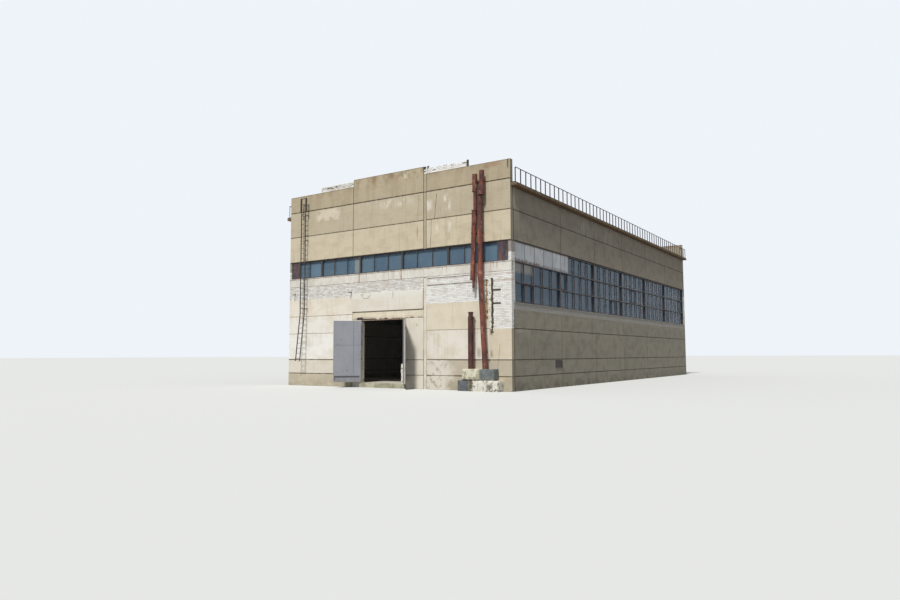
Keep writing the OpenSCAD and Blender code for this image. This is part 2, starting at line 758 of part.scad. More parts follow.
module broken_pipe() color("firebrick") difference() {
    union() {
        broken_lengths(0);
        along_broken_leg() for (down = [0, broken_leg - collar_h])
            translate([0, 0, down]) cylinder(r = broken_r + collar_out, h = collar_h, $fn = 48);
        translate([broken_at, pipe_y, 0])
            run(broken_r + collar_out, broken_joint - collar_h, broken_joint);
        for (h = [head_z + low_strap, broken_wide_top - 3 * strap_h]) pipe_strap(leaning_at(h), h, broken_r);
        pipe_strap(broken_at, broken_top - broken_top_l / 2, broken_r);
    }
    broken_lengths(pipe_wall);
}

long_angle = atan(long_lean / (long_bend_z - block_top));
long_leg = (long_bend_z - block_top) / cos(long_angle);
bell_z = long_top - long_top_l;
long_at = side_x - long_x;

// The leaning pipe's pieces: a set-off top piece, a straight one, and below a round elbow one that leans
module long_run(inside) translate([long_at, pipe_y, 0]) {
    r = long_r - inside;
    translate([long_step, 0, 0]) run(r, bell_z, long_top + inside);
    run(r, long_bend_z + collar_out / 2, bell_z + bell_h / 2 - inside);
    translate([0, 0, z(long_bend_z)]) {
        sphere(r = long_r + collar_out - 2 * inside, $fn = 48);
        rotate([0, 180 - long_angle, 0]) translate([0, 0, collar_out / 2])
            cylinder(r = r, h = long_leg + 2 * long_r, $fn = 48);
    }
}

module leaning_pipe() color("firebrick") difference() {
    union() {
        long_run(0);
        translate([long_at + long_step / 2, pipe_y, 0])
            run(long_r + long_step / 2 + pipe_wall, bell_z - bell_h / 2, bell_z + bell_h / 2);
        pipe_strap(long_at + long_step, long_top - long_top_l / 2, long_r);
        for (h = [head_z + low_strap, bell_z - long_top_l / 2]) pipe_strap(long_at, h, long_r);
        translate([long_at, pipe_y, 0])
            run(long_r + collar_out, bell_z - 2 * long_top_l, bell_z - 2 * long_top_l + collar_h);
    }
    long_run(pipe_wall);
    translate([0, front_y - 2 * pipe_out, -1]) cube([side_x, 2 * pipe_out + 1, z(block_top) + 1]);
}

// The short pipe stands open on the block; its narrow head is closed by a plate
module short_pipe() color("firebrick") {
    head_r = short_r - short_head_in;
    translate([side_x - short_x, pipe_y, 0]) difference() {
        union() {
            run(short_r, block_top, short_top - short_head_l);
            run(head_r, block_top, short_top);
            run(short_r, short_top - collar_h / 2, short_top);
            translate([0, -strap_h / 2, z(short_top) - strap_h]) cube([short_r + collar_h, strap_h, strap_t]);
        }
        run(short_r - pipe_wall, block_top - 1, short_top - short_head_l - pipe_wall);
        run(head_r - pipe_wall, block_top, short_top - pipe_wall);
    }
}

// A cast block from a corner b to its far corner, with chamfered long edges
module block(b, size) translate([b[0], b[1], b[2]]) rotate([90, 0, 90]) linear_extrude(size[0]) {
    c = block_chamfer;
    polygon([[c, 0], [size[1], 0], [size[1], size[2] - c], [size[1] - c, size[2]], [c, size[2]],
        [0, size[2] - c], [0, c]]);
}

module pipe_blocks() color("lightgray") {
    low_h = z(block_top) - block_h;
    upper_l = side_x - short_x - short_r - block_past_short;
    upper_r = long_at + long_lean + long_r + block_past_long;
    right_x = upper_r + lower_block_out - lower_block_l;
    block([upper_l, front_y - block_d, low_h], [upper_r - upper_l, block_d, block_h]);
    block([right_x - block_gap - left_block_l, front_y - block_d, 0], [left_block_l, block_d, low_h]);
    block([right_x, front_y - block_d - block_step, 0], [lower_block_l, block_d + block_step, low_h]);
}

module wheel_guard() color("whitesmoke")
    box([gate_r - guard_in - guard_w, front_y + leaf_t + 2 * leaf_sheet_t + guard_gap, floor_h],
        [gate_r - guard_in, inner_y, z(guard_h)]);

module wall_bracket(x, h) translate([x, front_y + brick_back, z(h)]) {
    translate([-bracket_arm / 2, -bracket_l, -bracket_arm]) cube([bracket_arm, bracket_l, bracket_arm]);
    translate([-bracket_plate / 2, -bracket_t, -bracket_plate])
        cube([bracket_plate, bracket_t, 1.5 * bracket_plate]);
}

module wall_brackets() color("black") {
    wall_bracket(-bay_w / 2 - right_bracket_in, right_bracket_z);
    wall_bracket(-side_x + left_bracket_in, left_bracket_z);
}

// A frame with sloping louvres
module side_vent() color("dimgray") translate([side_x, front_y + vent_y - vent_w / 2, z(vent_z)]) {
    difference() {
        cube([vent_out, vent_w, vent_h]);
        translate([louvre_t, vent_bar, vent_bar])
            cube([vent_out, vent_w - 2 * vent_bar, vent_h - 2 * vent_bar]);
    }
    step = (vent_h - 2 * vent_bar) / louvres;
    for (i = [0 : louvres - 1])
        translate([0, vent_w - vent_bar / 2, vent_bar + i * step]) rotate([90, 0, 0])
            linear_extrude(vent_w - vent_bar)
                polygon([[0, step - 2 * louvre_t], [vent_out - louvre_t, louvre_t],
                    [vent_out - louvre_t, 2 * louvre_t], [0, step - louvre_t]]);
}

leaf_w = gate_w / 2 - 1.5 * leaf_gap;
leaf_z0 = z(leaf_gap_z);
leaf_z1 = z(gate_h) - leaf_gap_top;
axis_y = front_y - hinge_out;
hinge_levels = [hinge_in, gate_h / 2, gate_h - hinge_in];
pin_play = 0.05;
hinge_play = 2;

// Puts a leaf that is drawn closed, hinged at the left jamb, at its rest angle
module hang(x, open, mirrored) translate([x, axis_y, 0]) rotate(mirrored ? open : -open)
    mirror([mirrored ? 1 : 0, 0, 0]) children();

// A closed leaf's frame with its hinge straps; the hinge axis is at the origin
module leaf_frame() {
    y0 = hinge_out + leaf_sheet_t;
    difference() {
        box([leaf_gap, y0, leaf_z0], [leaf_gap + leaf_w, y0 + leaf_t, leaf_z1]);
        rows = 2;
        step = (leaf_z1 - leaf_z0 - frame_bar) / rows;
        for (i = [0 : rows - 1])
            box([leaf_gap + frame_bar, y0 - 1, leaf_z0 + frame_bar + i * step],
                [leaf_gap + leaf_w - frame_bar, y0 + leaf_t + 1, leaf_z0 + (i + 1) * step]);
    }
    for (h = hinge_levels) difference() {
        union() {
            translate([0, 0, z(h)]) cylinder(r = knuckle_r, h = knuckle_h / 2, $fn = 48);
            box([leaf_gap, 0, z(h)], [leaf_gap + knuckle_r, y0, z(h) + knuckle_h / 2]);
        }
        translate([0, 0, z(h) - 1]) cylinder(r = pin_r + pin_play, h = knuckle_h, $fn = 48);
    }
}

// The sheets on both faces of a closed leaf
module leaf_sheets(inner_z) {
    difference() {
        box([leaf_gap, hinge_out, leaf_z0], [leaf_gap + leaf_w, hinge_out + leaf_sheet_t, leaf_z1]);
        for (h = hinge_levels)
            box([leaf_gap - 1, hinge_out - 1, z(h)], [leaf_gap + knuckle_r, hinge_out + leaf_sheet_t + 1,
                z(h) + knuckle_h / 2]);
    }
    box([leaf_gap, hinge_out + leaf_sheet_t + leaf_t, z(inner_z)],
        [leaf_gap + leaf_w, hinge_out + 2 * leaf_sheet_t + leaf_t, leaf_z1]);
}

module left_leaf_frame() color("lightslategray") hang(gate_l, left_open, false) leaf_frame();
module left_leaf_sheet() color("lightslategray") hang(gate_l, left_open, false) leaf_sheets(left_sheet_z);
module right_leaf_frame() color("lightslategray") hang(gate_r, right_open, true) leaf_frame();
module right_leaf_sheet() color("lightslategray") hang(gate_r, right_open, true) leaf_sheets(leaf_gap_z);

floor_slab();
gate_threshold();
columns();
roof_girders();
roof_slabs();
roofing();
front_left_panels();
front_right_panels();
gate_side_panels();
gate_beam();
gate_lintel_panel();
gate_lining();
front_filler_strip();
front_brickwork();
front_sheet_band();
gable_window_frames();
gable_window_glass();
window_end_sheets();
corner_piers();
front_upper_panels();
front_parapet();
parapet_upstands();
right_lower_panels();
right_upper_panels();
left_lower_panels();
left_upper_panels();
side_brick_courses();
side_window_frames();
side_window_glass();
side_window_sheets();
rear_lower_panels();
rear_brickwork();
rear_sheet_band();
rear_upper_panels();
rear_parapet();
eave_cornices();
roof_railings();
roof_ladder();
broken_pipe();
leaning_pipe();
short_pipe();
pipe_blocks();
wheel_guard();
wall_brackets();
side_vent();
left_leaf_frame();
left_leaf_sheet();
right_leaf_frame();
right_leaf_sheet();
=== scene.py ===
import json
import math
import random

import bmesh
import bpy
from mathutils import Matrix, Vector, noise


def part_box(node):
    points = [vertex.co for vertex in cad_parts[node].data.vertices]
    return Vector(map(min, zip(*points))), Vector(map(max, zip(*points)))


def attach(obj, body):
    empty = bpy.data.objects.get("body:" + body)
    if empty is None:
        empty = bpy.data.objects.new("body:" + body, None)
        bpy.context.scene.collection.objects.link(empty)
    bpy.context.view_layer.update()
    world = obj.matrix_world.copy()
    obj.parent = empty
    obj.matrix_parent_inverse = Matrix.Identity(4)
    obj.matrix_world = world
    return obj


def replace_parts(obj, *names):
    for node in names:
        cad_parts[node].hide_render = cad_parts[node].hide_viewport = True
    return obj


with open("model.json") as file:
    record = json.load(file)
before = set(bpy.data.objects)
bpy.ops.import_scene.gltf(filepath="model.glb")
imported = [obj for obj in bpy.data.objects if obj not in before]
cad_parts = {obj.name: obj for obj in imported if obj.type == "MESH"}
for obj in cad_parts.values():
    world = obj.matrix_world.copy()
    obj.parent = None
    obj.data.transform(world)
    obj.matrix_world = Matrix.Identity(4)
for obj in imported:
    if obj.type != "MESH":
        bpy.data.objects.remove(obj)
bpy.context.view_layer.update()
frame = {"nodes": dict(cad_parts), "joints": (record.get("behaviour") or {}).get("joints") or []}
nodes = frame["nodes"]
print("frame loaded:", len(nodes), "parts")


# Where the walls stand, read from the frame

def low(node):
    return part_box(node)[0]


def high(node):
    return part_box(node)[1]


def corners(node):
    return [vert.co for vert in nodes[node].data.vertices]


frontY = low("front_left_panels").y
sideX = high("right_lower_panels").x
innerX = high("floor_slab").x
innerY = high("floor_slab").y
floorZ = high("floor_slab").z
sillZ = low("gable_window_frames").z
headZ = high("gable_window_frames").z
bandZ = low("front_sheet_band").z
sideSillZ = low("side_window_frames").z
upperZ = high("front_upper_panels").z
sideTopZ = high("right_upper_panels").z
panelEnd = high("front_upper_panels").x
pierEnd = high("side_brick_courses").y
bayLines = [-12.0, -6.0, 0.0, 6.0, 12.0]
feltPitch = 0.95
gableLines = [-3.0, low("front_filler_strip").x, high("front_filler_strip").x]


def levels(*heights):
    return [floorZ + height for height in heights]


# Each wall is drawn as if its outer face looked to -Y, and then turned into place
wallTurn = {"front": 0, "right": 90, "rear": 180, "left": -90}


def turned(wall):
    return Matrix.Rotation(math.radians(wallTurn[wall]), 4, "Z")


def linked(name, data):
    made = bpy.data.objects.new(name, data)
    bpy.context.scene.collection.objects.link(made)
    return made


def meshOf(name, bm):
    mesh = bpy.data.meshes.new(name)
    bm.to_mesh(mesh)
    bm.free()
    return mesh


# Camera, light and floor

camera = {
    "place": (27.15, -52.72, 2.1),
    "turns": ((33.46, "Z"), (94.65, "X"), (-0.18, "Z")),  # heading, tilt and roll
    "lens": 26.93,
    "sensor": 36.0,
    "reach": 900.0,
}


def addCamera():
    data = bpy.data.cameras.new("camera")
    data.sensor_width = camera["sensor"]
    data.lens = camera["lens"]
    data.clip_end = camera["reach"]
    made = linked("camera", data)
    turn, tilt, roll = (Matrix.Rotation(math.radians(angle), 4, axis) for angle, axis in camera["turns"])
    made.matrix_world = Matrix.Translation(camera["place"]) @ turn @ tilt @ roll
    bpy.context.scene.camera = made


light = {
    "towards": (0.122, -0.71, 1.0),
    "colour": (1.0, 0.98, 0.94),
    "strength": 3.4,
    "spread": 9.0,
    "sky": (0.33, 0.345, 0.37, 1.0),
    "backdrop": (0.86, 0.9, 0.95, 1.0),
    "ground": (0.27, 0.27, 0.26, 1.0),
    "paleFloor": (0.66, 0.67, 0.66, 1.0),
    "floorSize": 1600.0,
}


def addSun():
    data = bpy.data.lights.new("sun", "SUN")
    data.energy = light["strength"]
    data.angle = math.radians(light["spread"])
    data.color = light["colour"]
    linked("sun", data).rotation_euler = Vector(light["towards"]).to_track_quat("Z", "Y").to_euler()


# Shader maths

def shade(colour):
    # three parts from 0 to 255 are a colour as it looks on screen; wires and four parts stay
    if isinstance(colour, Wire) or len(colour) == 4:
        return colour
    parts = [part / 255 for part in colour]
    return tuple(p / 12.92 if p < 0.04045 else ((p + 0.055) / 1.055) ** 2.4 for p in parts) + (1.0,)


class Wire:
    # a socket that can be added, multiplied and so on
    def __init__(self, tree, socket):
        self.tree = tree
        self.socket = socket

    def node(self, kind, settings=None, inputs=None, out=0):
        made = self.tree.nodes.new("ShaderNode" + kind)
        for key, value in (settings or {}).items():
            if key == "stops":
                ramp = made.color_ramp.elements
                ramp[0].position, ramp[0].color = value[0]
                ramp[1].position, ramp[1].color = value[-1]
                for at, colour in value[1:-1]:
                    ramp.new(at).color = colour
            elif key == "interpolation":
                made.color_ramp.interpolation = value
            else:
                setattr(made, key, value)
        for key, value in (inputs or {}).items():
            if isinstance(value, Wire):
                self.tree.links.new(value.socket, made.inputs[key])
            else:
                made.inputs[key].default_value = value
        return Wire(self.tree, made.outputs[out])

    def math(self, operation, *values):
        return self.node("Math", {"operation": operation}, dict(enumerate(values)))

    def __add__(self, other):
        return self.math("ADD", self, other)

    def __sub__(self, other):
        return self.math("SUBTRACT", self, other)

    def __rsub__(self, other):
        return self.math("SUBTRACT", other, self)

    def __mul__(self, other):
        return self.math("MULTIPLY", self, other)

    def __truediv__(self, other):
        return self.math("DIVIDE", self, other)

    def __lt__(self, other):
        return self.math("LESS_THAN", self, other)

    def __gt__(self, other):
        return self.math("GREATER_THAN", self, other)

    def __abs__(self):
        return self.math("ABSOLUTE", self)

    __rmul__ = __mul__


def axes(place):
    parts = place.node("SeparateXYZ", None, {0: place}).socket.node.outputs
    return [Wire(place.tree, part) for part in parts]


def fade(value, start, end, first=0.0, last=1.0):
    # goes softly from first to last while value goes from start to end
    return value.node("MapRange", {"interpolation_type": "SMOOTHSTEP"},
        {"Value": value, "From Min": start, "From Max": end, "To Min": first, "To Max": last})


def mix(mask, first, second, how="MIX"):
    wire = next(w for w in (mask, first, second) if isinstance(w, Wire))
    inputs = {0: mask, 6: shade(first), 7: shade(second)}
    return wire.node("Mix", {"data_type": "RGBA", "blend_type": how}, inputs, 2)


def coat(colour, *layers):
    # lays colours over one another, each where its mask is
    for mask, tone in layers:
        colour = mix(mask, colour, tone)
    return colour


def cells(place, size, shift):
    scale = tuple(1.0 / part for part in size)
    return place.node("VectorMath", {"operation": "MULTIPLY_ADD"}, {0: place, 1: scale, 2: shift})


def cloud(place, size, stretch=1, shift=0.0, detail=5.0, rough=0.55):
    # noise whose lumps are about size metres across, stretched upwards or along all three axes
    stretch = stretch if isinstance(stretch, tuple) else (1, 1, stretch)
    spread = cells(place, [size * part for part in stretch], (shift,) * 3)
    inputs = {"Vector": spread, "Scale": 1.0, "Detail": detail, "Roughness": rough}
    return place.node("TexNoise", None, inputs)


def spots(place, start, end, *lumps):
    # 0 where such noise is under start, 1 where it is over end
    return fade(cloud(place, *lumps), start, end)


def dice(place, pitch, shift=(0.0, 0.0, 0.0)):
    # one random value from 0 to 1 for each cell of the given pitch
    cell = place.node("VectorMath", {"operation": "FLOOR"}, {0: cells(place, pitch, shift)})
    return place.node("TexWhiteNoise", {"noise_dimensions": "3D"}, {"Vector": cell})


def anyOf(masks):
    found = masks[0]
    for mask in masks[1:]:
        found = found.math("MAXIMUM", found, mask)
    return found


def near(value, marks, reach):
    # 1 at any of the marks, 0 further than reach from all of them
    return anyOf([fade(abs(value - mark), reach, 0.35 * reach) for mark in marks])


def below(z, marks, length):
    # 1 just under each mark, fading out over length
    return anyOf([fade(z, mark - length, mark) * (z < mark) for mark in marks])


def patch(first, second, *rows):
    # soft-edged patches of a wall, each with its spot, width, height, softness and perhaps strength
    found = None
    for across, up, width, height, soft, *strength in rows:
        sideways = fade(abs(first - across) / (width / 2), 1.0 + soft, 1.0 - soft)
        here = sideways * fade(abs(second - up) / (height / 2), 1.0 + soft, 1.0 - soft)
        for share in strength:
            here = here * share
        found = here if found is None else found + here
    return found


def line(first, second, start, end, half):
    # a thin ragged line between two spots of a wall
    lean = (end[0] - start[0]) / (end[1] - start[1])
    spot = first.node("CombineXYZ", None, {0: first, 2: second})
    off = first - second * lean + cloud(spot, 0.4, 1, 0.0, 4.0) * 0.1
    bottom, top = sorted((start[1], end[1]))
    return near(off, [start[0] - start[1] * lean + 0.05], half) * (second > bottom) * (second < top)


def relief(height, strength, distance, under=None):
    inputs = {"Strength": strength, "Distance": distance, "Height": height}
    if under is not None:
        inputs["Normal"] = under
    return height.node("Bump", None, inputs)


def raysSeen(wire):
    # 1 for what the camera sees directly, mirrored or through glass
    names = ("Is Camera Ray", "Is Glossy Ray", "Is Transmission Ray")
    return anyOf([wire.node("LightPath", None, None, name) for name in names])


def material(name, recipe, settings):
    # a recipe gives the colour and, if it has them, the normal and the roughness
    made = bpy.data.materials.new(name)
    made.use_nodes = True
    tree = made.node_tree
    shader = tree.nodes["Principled BSDF"]
    for key, value in settings.items():
        shader.inputs[key].default_value = value
    place = Wire(tree, tree.nodes.new("ShaderNodeTexCoord").outputs["Object"])
    for key, value in zip(("Base Color", "Normal", "Roughness"), recipe(place, *axes(place))):
        if value is not None:
            tree.links.new(value.socket, shader.inputs[key])
    return made


# Concrete and painted panels

def weathered(place, colour, look):
    # what all concrete outside has: blotches, drips and dirt under the joints; the inner faces are painted
    # pale, a painted light for the dim hall
    x, y, z = axes(place)
    blotch = spots(place, 0.42, 0.68, look["blotch"], 0.7, 3.0, 6.0)
    drips = spots(place, 0.46, 0.68, 0.13, 16, 7.0, 5.0, 0.6) * spots(place, 0.4, 0.62, 1.6, 1.6, 11.0, 3.0)
    wash = below(z, look["levels"], look["run"]) * spots(place, 0.4, 0.66, 0.22, 9, 1.0)
    grain = cloud(place, 0.05, 1, 5.0, 6.0, 0.7)
    seam = near(z, look["levels"], look["seam"]) * fade(cloud(place, 0.3, 1, 9.0, 4.0), 0.3, 0.6, 0.45, 1.0)
    # painted light: the inner faces are made paler so that the dim hall does not render too dark
    inside = (abs(x) < innerX + 0.01) * (abs(y) < innerY + 0.01) * (z < sideTopZ + 0.2)
    ends = (abs(x) > panelEnd - 0.004) * (abs(x) < panelEnd + 0.004)
    colour = coat(colour, (blotch * look["dirt"], look["dirtColour"]),
        (drips * look["drip"], look["dripColour"]), (wash * look["wash"], look["washColour"]))
    speckle = mix(fade(grain, 0.3, 0.7), (96, 92, 84), (250, 247, 240))
    colour = mix(0.35 * look["grain"], colour, speckle, "OVERLAY")
    colour = coat(colour, (seam * look["seamDark"], look["seamColour"]), (inside * 0.9, (222, 219, 211)),
        (ends * 0.85, (150, 141, 124)))
    return colour, relief(grain, look["rough"], 0.012, relief(blotch, 0.25, 0.03))


upperLook = {
    "blotch": 0.9, "dirt": 0.28, "dirtColour": (168, 156, 133),
    "drip": 0.3, "dripColour": (150, 139, 117),
    "levels": [upperZ, floorZ + 10.2, headZ], "run": 0.9, "wash": 0.22, "washColour": (214, 205, 184),
    "grain": 0.55, "seam": 0.05, "seamDark": 0.85, "seamColour": (96, 86, 71), "rough": 0.4,
}


def upperFront(place, x, y, z):
    height = z - floorZ
    lime = patch(x, height, (4.62, 11.15, 0.5, 1.0, 0.5), (3.22, 11.1, 0.5, 0.6, 0.6),
        (4.72, 9.6, 0.3, 0.6, 0.6), (3.8, 9.6, 0.3, 0.5, 0.6), (0.6, 11.6, 2.4, 0.5, 0.6, 0.7))
    paint = patch(x, height, (-5.3, 11.5, 2.1, 0.8, 0.2)) * spots(place, 0.35, 0.5, 0.4, 1, 8.0)
    colour = mix(fade(z, floorZ + 10.15, floorZ + 10.25), (211, 200, 176), (196, 185, 163))
    colour = coat(colour, (dice(place, (6.0, 60.0, 1.8), (0.5, 0.0, -4.8)) * 0.25, (178, 167, 143)),
        (lime * spots(place, 0.44, 0.6, 0.2, 3.4, 2.0) * 0.8, (234, 229, 216)),
        (paint * 0.75, (226, 215, 197)),
        (patch(x, height, (2.35, 9.5, 0.09, 0.7, 0.6)) * 0.6, (158, 112, 72)))
    colour, normal = weathered(place, colour, upperLook)
    cracks = line(x, height, (3.84, 11.78), (3.66, 10.22), 0.03)
    cracks = cracks + line(x, height, (3.44, 10.15), (3.34, 8.47), 0.026)
    cracks = cracks + line(x, height, (2.46, 11.87), (2.36, 10.27), 0.02) * 0.6
    return coat(colour, (cracks * (y < 0.0) * 0.8, (104, 93, 76)),
        (near(x, gableLines, 0.045) * 0.6, (112, 101, 84))), normal


def parapet(place, x, y, z):
    top = fade(z, upperZ + 0.55, upperZ + 1.6)
    colour = mix(dice(place, (6.0, 60.0, 9.0), (0.5, 0.0, 0.0)) * 0.4, (188, 176, 152), (181, 167, 141))
    colour = coat(colour, (spots(place, 0.4, 0.7, 0.5, 6, 6.0) * 0.35, (150, 138, 114)),
        (top * spots(place, 0.44, 0.62, 0.45, 1.4, 4.0) * 0.6, (128, 114, 86)),
        (top * spots(place, 0.5, 0.6, 0.9, 1, 14.0, 3.0) * 0.3, (150, 104, 78)))
    look = dict(upperLook, levels=[upperZ], seam=0.07, seamDark=0.95, seamColour=(62, 54, 44))
    colour, normal = weathered(place, colour, look)
    rim = fade(z, upperZ + 1.08, upperZ + 1.15) * fade(abs(x), 2.9, 3.0)
    rim = rim + fade(z, upperZ + 1.56, upperZ + 1.64)
    rosy = patch(x, z, (7.7, upperZ + 1.0, 0.9, 0.3, 0.6)) * spots(place, 0.38, 0.55, 0.25)
    pale = patch(x, z, (1.5, upperZ + 1.3, 0.4, 0.4, 0.6)) * spots(place, 0.4, 0.55, 0.2)
    return coat(colour, (rim * 0.5, (98, 90, 72)),
        (patch(x, z, (8.84, upperZ + 0.95, 0.1, 0.6, 0.5)) * 0.8, (74, 66, 56)),
        (rosy * 0.5, (164, 116, 92)), (pale * 0.7, (236, 226, 202)),
        (near(x, gableLines, 0.045) * 0.6, (100, 90, 74))), normal


lowerLook = {
    "blotch": 1.1, "dirt": 0.3, "dirtColour": (206, 192, 166),
    "drip": 0.32, "dripColour": (188, 174, 148),
    "levels": levels(0.55, 1.5, 3.3, 4.5, 5.7), "run": 0.5, "wash": 0.3, "washColour": (198, 184, 156),
    "grain": 0.4, "seam": 0.035, "seamDark": 0.6, "seamColour": (128, 116, 98), "rough": 0.35,
}


def flaking(place, colour, amount):
    # paint that has come off in small flakes, down to the grey concrete
    bare = spots(place, 0.665 - amount, 0.69 - amount, 0.28, 1.2, 21.0, 9.0, 0.68)
    return mix(bare * 0.75, colour, (172, 162, 142)), bare


def paintedRows(place, tones, look, amount=0.0):
    # rows of panels, each in the tone that starts at its share of ten metres
    x, y, z = axes(place)
    stops = [(at, shade(tone)) for at, tone in tones]
    colour = z.node("ValToRGB", {"interpolation": "CONSTANT", "stops": stops}, {0: z / 10.0})
    colour = mix(dice(place, (6.0, 60.0, 60.0), (0.5, 0.0, 0.0)) * 0.2, colour, (220, 212, 194))
    colour, bare = flaking(place, colour, amount)
    soiled = near(z, look["levels"][:2], 0.06) * spots(place, 0.36, 0.52, 0.4, (2, 1, 1), 13.0)
    damp = fade(z, 1.1, 0.0) * spots(place, 0.3, 0.65, 0.5, 0.8, 17.0)
    colour = coat(colour, (damp * 0.55, (150, 140, 116)), (soiled * 0.75, (88, 76, 60)))
    colour, normal = weathered(place, colour, look)
    colour = mix(near(x, gableLines, 0.04) * 0.5, colour, (120, 108, 90))
    return colour, relief(1.0 - bare, 0.5, 0.006, normal)


def paintedLeft(place, x, y, z):
    tones = [(0.0, (200, 192, 174)), (0.085, (226, 220, 208)), (0.18, (243, 241, 236)),
        (0.36, (240, 236, 229)), (0.48, (236, 229, 217)), (0.99, (236, 229, 217))]
    return paintedRows(place, tones, lowerLook)


def paintedRight(place, x, y, z):
    tones = [(0.0, (184, 176, 158)), (0.085, (190, 182, 166)), (0.18, (233, 227, 217)),
        (0.36, (226, 217, 198)), (0.99, (226, 217, 198))]
    look = dict(lowerLook, levels=levels(0.55, 1.5, 3.3, 4.95), dirt=0.4, seamDark=0.8)
    colour, normal = paintedRows(place, tones, look, 0.01)
    height = z - floorZ
    lumpy = fade(x + 2.4 * cloud(place, 0.8), 6.4, 5.4) * (height < 1.5)
    ochre = fade(x, 7.35, 7.6) * fade(height, 3.4, 3.2) * fade(height, 1.4, 1.7)
    smudges = patch(x, height, (6.82, 1.9, 0.24, 0.5, 0.7), (7.66, 1.85, 0.16, 0.4, 0.7))
    return coat(colour, (lumpy * spots(place, 0.36, 0.5, 0.35, 1, 31.0, 6.0) * 0.8, (230, 225, 215)),
        (ochre * 0.55, (204, 188, 156)), (patch(x, height, (7.66, 3.15, 0.16, 0.4, 0.5)) * 0.8, (92, 84, 62)),
        (smudges * 0.5, (120, 108, 88)),
        (line(x, height, (8.23, 2.4), (7.94, 0.0), 0.016) * 0.8, (88, 78, 62))), normal


def paintedGate(place, x, y, z):
    look = dict(lowerLook, levels=levels(0.55, 1.5, 4.63), dirt=0.22)
    colour = mix(fade(z, floorZ + 4.6, floorZ + 4.7), (231, 225, 212), (229, 224, 213))
    colour, bare = flaking(place, colour, 0.015)
    colour, normal = weathered(place, colour, look)
    limed = fade(z + 0.5 * cloud(place, 0.35), floorZ + 5.65, floorZ + 5.95)
    ledge = (z > high("gate_lintel_panel").z - 0.004) * spots(place, 0.2, 0.5, 0.3, 1, 0.0, 4.0)
    across, up = x + 1.8, z - floorZ - 5.93
    arc = near(across * across + up * up, [0.19], 0.04) * fade(z, floorZ + 5.85, floorZ + 5.7)
    arc = arc + patch(x, z, (-2.14, floorZ + 5.76, 0.3, 0.1, 0.6))
    colour = coat(colour, (limed * 0.7, (232, 230, 222)), (ledge * 0.7, (150, 144, 128)),
        (arc * spots(place, 0.3, 0.55, 0.2) * 0.7, (150, 146, 138)),
        (patch(x, z, (0.46, floorZ + 5.7, 0.08, 0.5, 0.6)) * 0.6, (166, 156, 136)))
    return colour, relief(1.0 - bare, 0.5, 0.006, normal)


def beamFace(place, x, y, z):
    look = dict(lowerLook, levels=levels(4.63), blotch=0.5, dirt=0.4, dirtColour=(212, 194, 162))
    colour, bare = flaking(place, (232, 223, 203), 0.03)
    colour, normal = weathered(place, colour, look)
    edge = fade(z + 0.25 * cloud(place, 0.3), floorZ + 4.36, floorZ + 4.2)
    rust = edge * spots(place, 0.4, 0.6, 0.5, 1, 3.0)
    colour = coat(colour, (edge * 0.5, (150, 132, 106)), (rust * 0.7, (150, 92, 56)))
    return colour, relief(1.0 - bare, 0.5, 0.008, normal)


sideLook = dict(upperLook, dirtColour=(124, 117, 105), dripColour=(112, 106, 96), dirt=0.4, drip=0.35,
    washColour=(170, 164, 152), wash=0.3, seamColour=(62, 58, 52), grain=0.45)


def sideUpper(place, x, y, z):
    lime = patch(y, z, (-7.6, floorZ + 10.9, 3.6, 1.4, 0.5), (-3.2, floorZ + 10.6, 1.4, 1.2, 0.5))
    colour = mix(dice(place, (60.0, 6.0, 1.8), (0.0, 0.0, -4.8)) * 0.35, (162, 154, 140), (145, 138, 126))
    colour = mix(lime * spots(place, 0.42, 0.62, 0.3, 7, 2.0) * 0.6, colour, (184, 180, 170))
    colour, normal = weathered(place, colour, dict(sideLook, levels=[sideTopZ, floorZ + 10.2, headZ]))
    mortared = fade(abs(y), 18.42, 18.45) * fade(abs(y), 18.54, 18.52) * fade(z, floorZ + 10.2, floorZ + 10.4)
    # painted shadow: near black along the foot of the upper panels, over the window head
    return coat(colour, (fade(z, headZ + 0.07, headZ + 0.02) * 0.9, (38, 34, 26)),
        (fade(abs(y), 18.53, 18.56) * 0.85, (52, 46, 40)), (mortared * 0.8, (212, 206, 192)),
        (near(y, bayLines, 0.045) * 0.6, (74, 69, 62))), normal


def sideLower(place, x, y, z):
    pale = patch(y, z, (-17.6, floorZ + 3.22, 1.6, 0.3, 0.35)) * spots(place, 0.4, 0.5, 0.3)
    colour = mix(dice(place, (60.0, 6.0, 1.4), (0.0, 0.0, -0.2)) * 0.4, (165, 159, 145), (148, 143, 131))
    colour = mix(pale * 0.6, colour, (196, 188, 166))
    colour, normal = weathered(place, colour, dict(sideLook, levels=levels(0.55, 1.5, 3.3, 4.4)))
    return coat(colour, (fade(z, 0.9, 0.0) * spots(place, 0.35, 0.6, 0.5) * 0.5, (100, 96, 82)),
        (near(y, bayLines, 0.045) * 0.6, (74, 69, 62)),
        (fade(abs(y), 18.53, 18.56) * 0.85, (52, 46, 40))), normal


def structural(place, x, y, z):
    colour = mix(spots(place, 0.4, 0.65, 0.7) * 0.5, (196, 192, 182), (166, 161, 150))
    colour = mix(spots(place, 0.5, 0.7, 0.12, 10) * 0.35, colour, (120, 115, 105))
    return colour, relief(cloud(place, 0.04, 1, 2.0, 6.0, 0.7), 0.35, 0.01)


def mossy(place, base, green, amount):
    moss = spots(place, 0.42, 0.6, 0.35, 1, 5.0, 6.0, 0.62)
    colour = coat(base, (spots(place, 0.35, 0.7, 0.6, 1, 0.0, 4.0) * 0.5, (118, 112, 97)),
        (moss * amount, green), (spots(place, 0.55, 0.7, 0.12, 7, 4.0) * 0.3, (92, 72, 56)))
    return colour, relief(cloud(place, 0.05, 1, 2.0, 6.0, 0.7), 0.5, 0.015, relief(moss, 0.4, 0.03))


